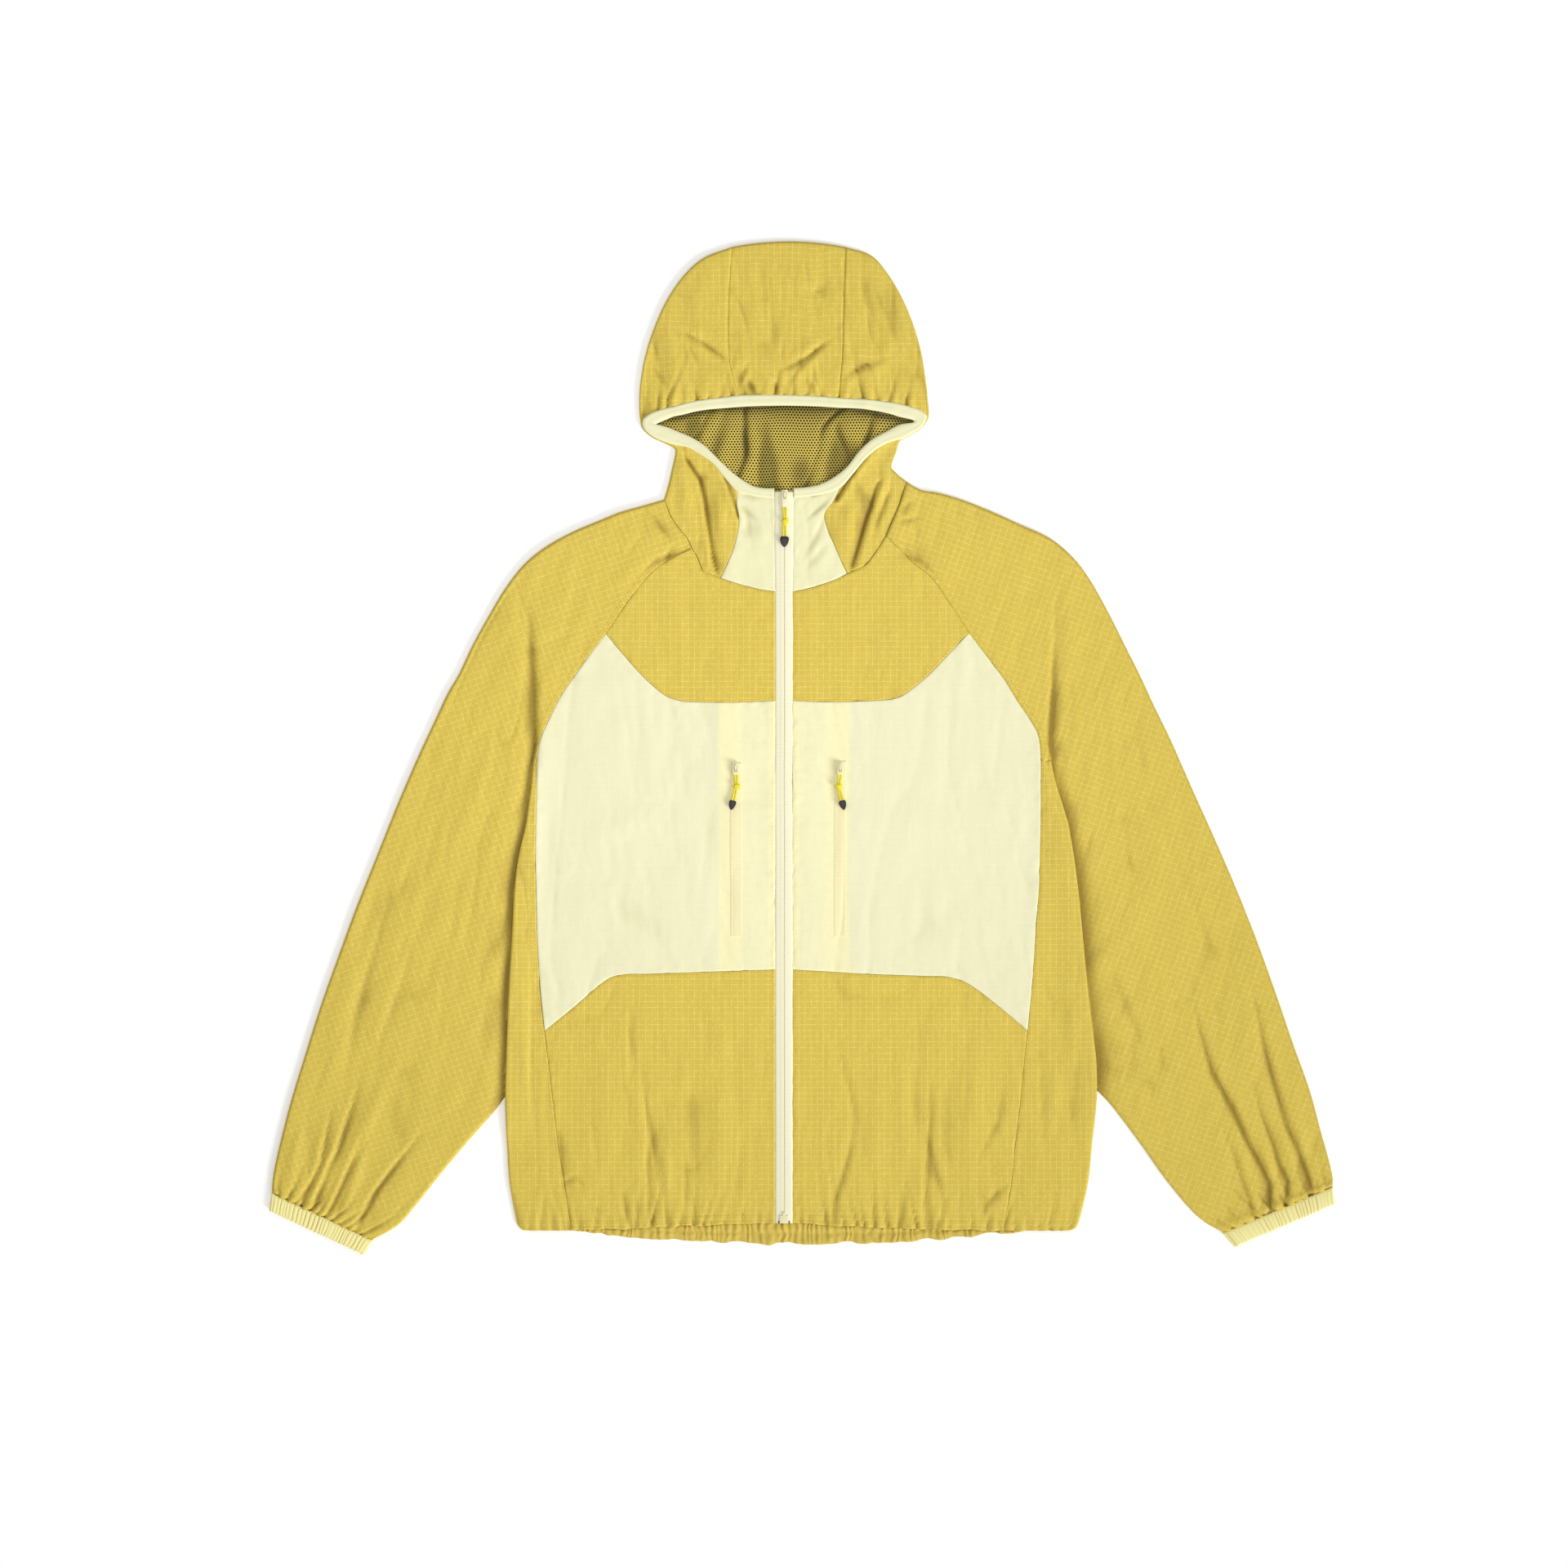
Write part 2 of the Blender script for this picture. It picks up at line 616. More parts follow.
def facing_warmth(tree, across):
    """Where the pocket's facing shows warm through a pale front, less so along its middle."""
    out = math_node(tree, "ABSOLUTE", across)
    band = math_node(tree, "MULTIPLY", math_node(tree, "SUBTRACT", FACING_END, out), 0.3, True)
    inner = math_node(tree, "SUBTRACT", out, LIGHT_BAND[0])
    outer = math_node(tree, "SUBTRACT", LIGHT_BAND[1], out)
    inner = math_node(tree, "MULTIPLY", inner, 0.5, True)
    outer = math_node(tree, "MULTIPLY", outer, 0.25, True)
    between = math_node(tree, "MULTIPLY", math_node(tree, "MULTIPLY", inner, outer), -0.55)
    return math_node(tree, "MULTIPLY", band, math_node(tree, "ADD", between, 1.0))


def ripstop(name, base, bright, dark, deep, lines=0.78, vertical=1.0, warm=None, crinkle=0.55):
    """Ripstop nylon: a yarn grid, a soft mottling, fine crinkles and the weave itself."""
    material, tree, shader = new_material(name, linear(*base), 0.6)
    vector, across, along = grain_axes(tree)
    wander = noise_node(tree, vector, 0.035)
    patches = noise_node(tree, vector, 0.16, 1.0)
    dashes = noise_node(tree, vector, 0.36, 0.0)
    strong = math_node(tree, "MULTIPLY", math_node(tree, "SUBTRACT", dashes, 0.34), 3.0, True)
    strong = math_node(tree, "ADD", math_node(tree, "MULTIPLY", strong, 0.75), 0.25)
    upright, level = (math_node(tree, "MULTIPLY", strong, s) for s in (lines * vertical, lines))
    upright = yarn(tree, across, GRID_ACROSS, wander, upright)
    level = yarn(tree, along, GRID_ALONG, wander, level)
    grid = math_node(tree, "MAXIMUM", upright, level)
    ground = linear(*base)
    if warm:
        ground = mix_node(tree, facing_warmth(tree, across), ground, linear(*warm))
    soft = math_node(tree, "MULTIPLY", math_node(tree, "SUBTRACT", patches, 0.5), 0.8)
    soft = math_node(tree, "ADD", soft, 0.3, True)
    body = mix_node(tree, soft, ground, linear(*dark))
    open_cloth = mix_node(tree, grid, body, linear(*bright))
    whole = mix_node(tree, creased_node(tree), open_cloth, linear(*deep))
    tree.links.new(whole, shader.inputs["Base Color"])
    relief = math_node(tree, "MULTIPLY", noise_node(tree, vector, 1.6, 3.0), 0.12)
    relief = math_node(tree, "ADD", relief, math_node(tree, "MULTIPLY", grid, 0.12))
    crinkles = math_node(tree, "MULTIPLY", crinkle_height(tree, vector), 1.6 * crinkle)
    bump(tree, shader, math_node(tree, "ADD", relief, crinkles), 0.9, 0.0010)
    return material


MUSTARD = ripstop("mustard ripstop", (223, 197, 83), (251, 235, 142), (213, 186, 73), (124, 96, 24),
                  crinkle=0.75)
PALE = ripstop("pale ripstop", (242, 239, 194), (248, 246, 214), (237, 233, 184), (196, 189, 130),
               lines=0.5, vertical=0.3, crinkle=0.3)
PALE_FRONT = ripstop("pale front ripstop", (243, 240, 200), (249, 247, 220), (238, 235, 192),
                     (196, 190, 134), lines=0.5, vertical=0.3, warm=(254, 246, 190), crinkle=0.3)
INSIDE = ripstop("inside of the shell", (168, 146, 66), (180, 158, 78), (150, 128, 56), (34, 28, 10),
                 lines=0.3)
CUFF = ripstop("cuff cloth", (255, 246, 174), (255, 249, 190), (255, 243, 162), (214, 188, 96),
               lines=0.1, crinkle=0.1)
print("Cloth materials:", [m.name for m in (MUSTARD, PALE, PALE_FRONT, INSIDE, CUFF)])

# %% [markdown]
# ## The fronts
# Each front is sewn from three pieces: a mustard yoke, a pale middle and a mustard lower front.
# Their seams are shared, so the same line is used for the edge of both pieces.
# The lower fronts carry soft upright folds and short tucks where the hem is gathered.

# %% Front seams
ZIP_EDGE = 9.2
NECK_SEAM = both_sides("out up", right=[
    (9.2, 300.5), (27.0, 303.4), (44.0, 308.0), (60.8, 313.6), (69.4, 317.1), (78.0, 320.6),
    (80.5, 327.0), (83.6, 334.6), (88.0, 341.6), (93.6, 353.3), (101.4, 362.7), (109.2, 374.4),
    (114.7, 388.4),
], left=[
    (9.2, 300.5), (27.0, 304.4), (44.0, 310.0), (60.8, 317.5), (69.4, 321.8), (78.0, 326.0),
    (85.8, 335.4), (91.5, 344.0), (97.5, 353.3), (103.0, 366.6), (109.2, 380.6), (113.9, 393.9),
    (117.0, 405.6),
])
YOKE_SEAM = both_sides("out up", right=[
    (9.2, 196.6), (38.0, 195.2), (66.0, 195.0), (93.6, 195.8), (105.0, 198.2), (115.4, 202.8),
    (133.4, 218.4), (152.0, 239.0), (170.0, 260.5),
], left=[
    (9.2, 196.6), (38.0, 195.4), (68.0, 195.8), (97.5, 197.3), (106.5, 199.0), (115.4, 202.8),
    (134.9, 218.4), (155.5, 239.3), (176.3, 261.3),
])
LOWER_SEAM = both_sides("out up", right=[
    (9.2, -60.1), (42.0, -61.2), (78.0, -62.4), (112.0, -63.6), (133.0, -64.2), (152.1, -64.7),
    (170.0, -70.2), (199.7, -95.2), (228.5, -118.6),
], left=[
    (9.2, -60.1), (42.0, -62.0), (78.0, -64.2), (112.0, -65.5), (134.0, -66.2), (156.0, -67.1),
    (176.3, -74.1), (203.0, -93.8), (232.4, -118.6),
])
FRONT_HEM = both_sides("out up", right=[
    (9.2, -302.6), (36.0, -303.0), (62.4, -303.6), (88.0, -304.8), (114.0, -306.0), (140.4, -307.3),
    (162.0, -308.0), (182.0, -308.6), (202.8, -309.0),
], left=[
    (9.2, -301.9), (36.0, -303.8), (62.4, -305.2), (88.0, -306.2), (114.0, -307.2), (140.4, -308.2),
    (164.0, -308.8), (187.0, -309.0), (209.0, -309.0),
])
SLEEVE_ROWS = both_sides("seam_out seam_up fold_out fold_up", right=[
    (88.0, 341.6, 114.7, 388.4), (110.8, 330.7, 136.5, 382.2), (127.9, 317.5, 156.0, 376.7),
    (141.2, 301.1, 175.5, 368.9), (154.4, 283.9, 202.8, 357.2), (170.0, 260.5, 227.8, 343.2),
    (185.6, 240.2, 248.8, 326.0), (201.2, 218.4, 266.8, 302.6), (213.7, 199.7, 280.8, 279.2),
    (224.6, 177.8, 296.4, 251.2), (233.2, 157.6, 309.7, 223.1), (235.6, 142.7, 321.4, 202.8),
    (238.0, 120.0, 333.0, 178.0), (239.5, 78.0, 349.4, 142.7), (247.0, 31.2, 368.9, 97.5),
    (250.0, -19.5, 389.2, 46.8), (253.0, -70.2, 407.9, 0.0), (255.5, -120.9, 425.1, -46.8),
    (259.0, -163.8, 442.3, -95.2), (271.4, -188.8, 458.6, -146.6), (303.4, -226.2, 470.3, -184.9),
    (327.6, -255.1, 479.7, -220.7), (351.0, -284.7, 485.9, -248.0), (368.2, -304.0, 488.3, -263.6),
    (391.6, -317.8, 488.6, -272.2),
], left=[
    (97.5, 353.3, 117.0, 405.6), (111.5, 340.1, 130.3, 397.8), (124.8, 326.8, 148.2, 394.7),
    (140.4, 314.3, 171.6, 387.7), (156.0, 292.5, 198.9, 376.7), (176.3, 261.3, 226.2, 364.3),
    (191.9, 241.0, 253.5, 351.8), (209.0, 218.4, 275.3, 333.8), (221.5, 198.1, 292.5, 311.2),
    (235.0, 177.8, 310.4, 279.2), (242.6, 163.0, 326.0, 248.0), (244.9, 142.7, 340.1, 220.0),
    (250.0, 120.0, 353.0, 192.0), (261.0, 78.0, 369.7, 157.6), (269.0, 31.2, 390.0, 111.5),
    (275.0, -19.5, 411.1, 64.7), (280.0, -70.2, 431.3, 17.9), (285.0, -118.6, 450.8, -31.2),
    (290.0, -162.2, 468.8, -81.1), (313.6, -191.1, 485.9, -131.0), (340.1, -226.2, 501.5, -174.7),
    (362.7, -258.2, 511.7, -212.2), (386.1, -287.0, 519.5, -240.2), (402.0, -301.5, 523.4, -257.4),
    (418.1, -310.4, 523.6, -266.4),
])
ARMPIT_ROW = 11
HEM_ROW = 13
YOKE_ROWS = 5
CHIN_POINTS = 4
RAGLAN_POINTS = 9
LOWER_SEAM_ROW = 8


def upright_line(out, low, high):
    return np.array([[out, low], [out, high]], float)


def zip_line(low, high):
    return upright_line(ZIP_EDGE, low, high)


def zip_cover(up):
    """How far the fronts reach in over the tape: a little more below the neck than at it."""
    return 1.0 - 0.75 * smooth((up - 300) / 50)


def beside_zip(grid):
    """Moves the points near the zip in by the cover, and fades that out across the panel."""
    moved = grid.copy()
    moved[..., 0] -= zip_cover(grid[..., 1]) * np.clip(1 - (grid[..., 0] - ZIP_EDGE) / 30, 0, 1)
    return moved


def raglan(side, first, last):
    """The front raglan seam between two rows of the sleeve's table."""
    return through(columns(SLEEVE_ROWS[side], "seam_out", "seam_up")[first:last + 1])


def side_seam(side, first, last):
    return through(columns(SIDE_ROWS[side], "seam", "up")[first:last + 1])


print("Points along each neck seam:", len(seam(NECK_SEAM, "left")))


# %% Yokes, middles and lower fronts
def hem_tucks(out, up, seed):
    """Short tucks that rise from the gathered hem and fade upwards."""
    rng = np.random.default_rng(seed)
    total = np.zeros_like(out)
    above = np.clip(up - HEM_UP, 0, None)
    for centre in np.arange(14, 300, 10.5) + rng.uniform(-4, 4, 28):
        tall, wide = rng.uniform(7, 26), rng.uniform(1.3, 2.6)
        lean = centre + rng.uniform(-0.35, 0.35) * above
        depth = rng.uniform(0.7, 2.8)
        fade = np.exp(-above / tall)
        total -= depth * np.exp(-((out - lean) / wide) ** 2) * fade
        total += 0.5 * depth * np.exp(-((out - lean - 2.2 * wide) / (1.6 * wide)) ** 2) * fade
    return total


def front_piece(name, side, bottom, top, zip_side, out_side, material, seed):
    """A flat piece between four seams, with its crumples, and tucks along the hem."""
    grid, away = patch(bottom, top, zip_side, out_side)
    grid = beside_zip(grid)
    out, up = grid[..., 0], grid[..., 1]
    sign = SIDES[side]
    relief = crumple(sign * out, up, seed, 0.8) + pucker(out, up, away, seed + 5)
    if "lower" in name:
        relief += hem_tucks(out, up, seed + 9)
    points = place(side, grid, front_top(side, out, up) + relief - rolled_edge(away))
    shade = in_creases(relief + fold_height(side, out, up))
    piece = cloth(name, points, points[..., :2], [material], [name], shade=shade)
    declare(piece, points)


for side in SIDES:
    neck = seam(NECK_SEAM, side, part=slice(0, RAGLAN_POINTS))
    yoke_line, lower_line = seam(YOKE_SEAM, side), seam(LOWER_SEAM, side)
    hem_line = seam(FRONT_HEM, side)
    sway = smooth((hem_line[:, 0] - 12) / 14) * smooth((hem_line[-1, 0] - hem_line[:, 0]) / 8)
    hem_line[:, 1] += 0.9 * sway * noise(hem_line[:, 0], 0 * hem_line[:, 0], 9, 9, 35 + SIDES[side])
    upper = raglan(side, 0, YOKE_ROWS)[::-1]
    front_piece(f"{side}_yoke", side, yoke_line, neck, zip_line(yoke_line[0, 1], neck[0, 1]),
                upper, MUSTARD, 11)
    armhole = np.vstack([raglan(side, YOKE_ROWS, ARMPIT_ROW), side_seam(side, 1, LOWER_SEAM_ROW)])[::-1]
    front_piece(f"{side}_middle_panel", side, lower_line, yoke_line,
                zip_line(lower_line[0, 1], yoke_line[0, 1]), armhole, PALE_FRONT, 21)
    flank = side_seam(side, LOWER_SEAM_ROW, HEM_ROW)[::-1]
    front_piece(f"{side}_lower_front", side, hem_line, lower_line,
                zip_line(hem_line[0, 1], lower_line[0, 1]), flank, MUSTARD, 31)
print("Front pieces made:", [name for name, *_ in SHEETS])

# %% [markdown]
# ## Sections that turn round a fold
# Sleeves, side panels and hood pieces go round the outline and come back underneath.
# Each is a row of sections: along the upper layer, round a half circle, and in along the floor.
# The grid holds the outer face of the cloth, so the fold lies exactly on the outline.

# %% Folded sections
ARC = 9
HALF_TURN = np.linspace(np.pi / 2, -np.pi / 2, ARC)[1:]
BACK_STEPS = 12
FOLD_SHADE = 0.22


def more_rows(line, first, last):
    """The same line with six more points between its last two, at these shares."""
    extra = np.linspace(first, last, 6)[:, None]
    return np.vstack([line[:-1], line[-2] * (1 - extra) + line[-1] * extra, line[-1:]])


def folded(side, start, fold, back, shares, heights, bends, inward=None):
    """Sections from the seam over the fold to the back seam, which may run inward first."""
    run = fold - start
    length = np.linalg.norm(run, axis=1)[:, None]
    direction = run / length
    rise = heights[:, -1:] / 2
    reach = np.minimum(rise, length - 0.4)
    flat = 1 - reach / length
    upper = start[:, None] + run[:, None] * (shares[None, :, None] * flat[:, None]) + bends
    top = np.concatenate([upper, heights[..., None]], 2)
    centre = fold - direction * reach
    arc = centre[:, None] + direction[:, None] * (reach[:, None] * np.cos(HALF_TURN)[None, :, None])
    arc_z = rise + rise * np.sin(HALF_TURN)[None, :]
    arc = np.concatenate([arc, arc_z[..., None]], 2)
    t = np.linspace(0, 1, BACK_STEPS + 1)[None, 1:, None]
    middle = (centre + back) / 2 if inward is None else centre * [inward, 1.0]
    under = centre[:, None] * (1 - t) ** 2 + 2 * middle[:, None] * t * (1 - t) + back[:, None] * t**2
    under = np.concatenate([under, np.zeros(under.shape[:2] + (1,))], 2)
    grid = np.concatenate([top, arc, under], 1)
    grid[..., 0] *= SIDES[side]
    return grid


def unrolled(grid, turn=0.0):
    """Grain map of a folded piece: its upper layer as it lies, and the rest rolled out flat."""
    steps = np.linalg.norm(np.diff(grid, axis=1), axis=2)
    flat_steps = np.linalg.norm(np.diff(grid[..., :2], axis=1), axis=2)
    extra = np.concatenate([np.zeros((len(grid), 1)), np.cumsum(steps - flat_steps, 1)], 1)
    plan = grid[..., :2].copy()
    outward = plan[:, 1:2] - plan[:, 0:1]
    outward /= np.linalg.norm(outward, axis=2, keepdims=True)
    turned = np.cumsum((np.diff(plan, axis=1) * outward).sum(2) < 0, axis=1) > 0
    back = np.concatenate([np.zeros((len(grid), 1), bool), turned], 1)
    shift = np.concatenate([np.zeros((len(grid), 1)), np.cumsum(flat_steps * turned, 1)], 1)
    plan = plan + outward * (extra + 2 * shift * back)[..., None]
    c, s = math.cos(turn), math.sin(turn)
    return plan @ np.array([[c, s], [-s, c]])


print("A folded section has", ARC - 1, "points round its fold")

# %% [markdown]
# ## Raglan sleeves
# A raglan sleeve runs right up to the neck, so its upper edge is part of the neck seam.
# Below the armpit it closes into a tube, and its inner edge hides under the side of the body.
# Long creases run up from the gathered wrist, and a deep one falls from the shoulder.

# %% Sleeves
SLEEVE_ROW_STEPS = 7
BACK_RAGLAN_UPS = [387, 372, 352, 330, 306, 281, 256, 232, 208, 186, 165, 146]
BACK_RAGLAN_OUT = {"right": (106, 224), "left": (106, 238)}
SLEEVE_TURN = {"right": math.radians(-19), "left": math.radians(19)}
TUCKS = {
    "right": [0.04, 0.13, 0.21, 0.27, 0.36, 0.43, 0.50, 0.58, 0.66, 0.74, 0.88],
    "left": [0.05, 0.12, 0.19, 0.26, 0.33, 0.41, 0.52, 0.62, 0.68, 0.80, 0.91],
}
CUFF_OVERLAP = {"right": 0.6, "left": 1.9}
SEAM_AND_FOLD = 1.41  # a sleeve row holds two points, so its steps are root two times as long


def cuff_gathers(side, to_cuff, from_fold):
    """Tucks where the sleeve is drawn in at the cuff, and the puffs between them."""
    rng = np.random.default_rng(51 if side == "right" else 52)
    total = 1.3 * np.exp(-((to_cuff - 4) / 5) ** 2) * np.ones_like(from_fold)
    for centre in TUCKS[side]:
        tall, wide = rng.uniform(8, 30), rng.uniform(0.011, 0.018)
        lean = centre + rng.uniform(-0.0012, 0.0012) * to_cuff
        depth = rng.uniform(1.6, 3.2) * np.exp(-to_cuff / tall)
        total -= depth * np.exp(-(((from_fold - lean) / wide) ** 2))
        total += 0.35 * depth * np.exp(-(((from_fold - lean - 2.4 * wide) / (1.8 * wide)) ** 2))
    return total


def puffed_end(side, from_fold):
    """How far the sleeve's end reaches over the cuff: a scallop between each pair of tucks."""
    stops = np.array([0.0] + TUCKS[side] + [1.0])
    low = np.clip(np.searchsorted(stops, from_fold) - 1, 0, len(stops) - 2)
    share = (from_fold - stops[low]) / (stops[low + 1] - stops[low])
    return CUFF_OVERLAP[side] + 2.1 * np.clip(4 * share * (1 - share), 0, 1) ** 0.5


def back_raglan_out(side, up):
    """Where the straight back raglan seam lies at each height."""
    near, far = BACK_RAGLAN_OUT[side]
    highest, lowest = BACK_RAGLAN_UPS[0], BACK_RAGLAN_UPS[-1]
    return near + (far - near) * (highest - up) / (highest - lowest)


def beside_body(side, out, up):
    """The dark gap where the sleeve comes out from under the side of the body."""
    outside = out - body_edge(side, up)
    gap = 1.6 * smooth((230 - up) / 60) * np.exp(-(np.clip(outside - 1, 0, None) / 6) ** 2)
    wide = 0.8 * smooth((170 - up) / 90) * np.exp(-(np.clip(outside, 0, None) / 24) ** 2)
    return (gap + wide) * (outside > 0)


def sleeve(side):
    """From the front seam over the fold and back, gathered at the cuff."""
    names = ("seam_out", "seam_up", "fold_out", "fold_up")
    line = through(columns(SLEEVE_ROWS[side], *names), SLEEVE_ROW_STEPS)
    row = more_rows(np.arange(len(line))[:, None], 0.12, 0.88)[:, 0] / SLEEVE_ROW_STEPS
    line = more_rows(line, 0.12, 0.88)
    start, fold = line[:, :2], line[:, 2:]
    back_up = np.interp(row, range(ARMPIT_ROW + 1), BACK_RAGLAN_UPS)
    back = np.stack([back_raglan_out(side, back_up), back_up], 1)
    closed = smooth(row - ARMPIT_ROW)[:, None]
    back = back * (1 - closed) + start * closed
    width = np.linalg.norm(fold - start, axis=1).mean()
    shares = edge_shares(2 * width, 2 * width / 140)[:75]
    shares = shares / shares[-1]
    neck = resample(seam(NECK_SEAM, side, part=slice(RAGLAN_POINTS - 1, None)), shares)
    straight = start[0] + (fold[0] - start[0]) * shares[:, None]
    bend = (neck - straight)[None] * smooth(1 - row / 2)[:, None, None]
    plan = start[:, None] + (fold - start)[:, None] * shares[None, :, None] + bend
    out, up = plan[..., 0], plan[..., 1]
    away = shares[None, :] * width + 40 * closed
    along = np.minimum(row, 1.0)[:, None] * 24
    crumples = crumple(SIDES[side] * out - 0.3 * up, up, 41, 0.9)
    top = sleeve_top(side, out, up) + crumples
    top += pucker(out, up, away, 45) - rolled_edge(away) - rolled_edge(along)
    to_cuff = distances(line[::-1])[::-1] / SEAM_AND_FOLD
    from_fold = np.broadcast_to(1 - shares[None, :], top.shape)
    gathers = cuff_gathers(side, to_cuff[:, None], from_fold)
    top += gathers
    relief = gathers + crumples + fold_height(side, out, up) - beside_body(side, out, up)
    curl = np.clip(shares[None, :] * width / 2.2, 0, 1)
    top = top * (1 - closed) + closed * (1.6 + (top - 1.6) * np.sqrt(1 - (1 - curl) ** 2))
    end_way = start[-1] - start[-5]
    end_way = end_way / np.linalg.norm(end_way)
    inner_part = smooth(np.minimum(shares, 1 - shares) * 12)[:, None]
    bend[-1] += puffed_end(side, 1 - shares)[:, None] * end_way * inner_part
    top[-1] -= 1.1
    grid = folded(side, start, fold, back, shares, top, bend)
    grain = unrolled(grid, SLEEVE_TURN[side])
    name = f"{side}_sleeve"
    shade = np.zeros(grid.shape[:2])
    shade[:, :top.shape[1]] = in_creases(relief)
    shade[:, top.shape[1]:top.shape[1] + ARC - 1] = FOLD_SHADE
    piece = cloth(name, grid, grain, [MUSTARD], [name], upward=(len(line) // 2, 20),
                  shade=shade)
    declare(piece, grid)


for side in SIDES:
    sleeve(side)
print("Sleeve cuts:", SHEETS[-2:])

# %% [markdown]
# ## Side panels
# The side panel starts as a point at the armpit and widens down to the hem.
# It turns round the edge of the body and ends at the back side seam.

# %% Side panels
CORNER = 7.0


def side_panel(side):
    """From the front side seam round the edge of the body to the back one."""
    line = more_rows(through(columns(SIDE_ROWS[side], "seam", "up", "edge", "back"), 12), 0.15, 0.9)
    seam_out, up, edge, back_out = line.T
    above = np.clip(1 - (up - up[-1]) / CORNER, 0, 1)
    edge = edge - CORNER * (1 - np.sqrt(1 - above**2))
    start, fold = np.stack([seam_out, up], 1), np.stack([edge, up], 1)
    shares = edge_shares(80, 3.4)[:26]
    shares = shares / shares[-1]
    out = start[:, :1] + (fold - start)[:, :1] * shares[None]
    height = np.broadcast_to(up[:, None], out.shape)
    width = (edge - seam_out)[:, None]
    away = shares[None] * width
    crumples = crumple(SIDES[side] * out, height, 31)
    tucks = hem_tucks(out, height, 40) * smooth(width / 12)
    top = front_top(side, out, height) + crumples
    top += pucker(out, height, away, 65) - rolled_edge(away)
    top += tucks + 0.2 * smooth((height - 132) / 6)
    relief = crumples + fold_height(side, out, height) + tucks
    low = 3.3 * smooth((up + 240) / 30)
    crest = top[:, -1]
    rise = (crest - low) / 2
    reach = np.minimum(rise, edge - seam_out - 0.5)
    flat = 1 - reach / (edge - seam_out)
    upper_out = seam_out[:, None] + (edge - seam_out)[:, None] * shares[None] * flat[:, None]
    upper = np.stack([upper_out, height, top], 2)
    centre = edge - reach
    arc = np.stack([centre[:, None] + reach[:, None] * np.cos(HALF_TURN)[None],
                    np.broadcast_to(up[:, None], (len(up), ARC - 1)),
                    (low + rise)[:, None] + rise[:, None] * np.sin(HALF_TURN)[None]], 2)
    t = np.linspace(0, 1, 13)[1:]
    under_out = centre[:, None] * (1 - t) + back_out[:, None] * t
    inside = edge[:, None] - under_out
    under = np.stack([under_out, np.broadcast_to(up[:, None], under_out.shape),
                      low[:, None] * (1 - smooth((inside - 9) / 8))], 2)
    grid = np.concatenate([upper, arc, under], 1)
    grid[..., 0] *= SIDES[side]
    name = f"{side}_side_panel"
    shade = np.zeros(grid.shape[:2])
    shade[:, :top.shape[1]] = in_creases(relief)
    piece = cloth(name, grid, unrolled(grid), [MUSTARD], [name], upward=(len(up) - 30, 8),
                  shade=shade)
    declare(piece, grid)


for side in SIDES:
    side_panel(side)
print("Side panel cuts:", SHEETS[-2:])

# %% [markdown]
# ## The hood
# The hood has a centre strip over the crown and a piece on each side.
# Each runs from the face opening to the outline, round the fold, and down the back to the neck.
# The crown is gathered along the face opening, so short soft folds run up from it.

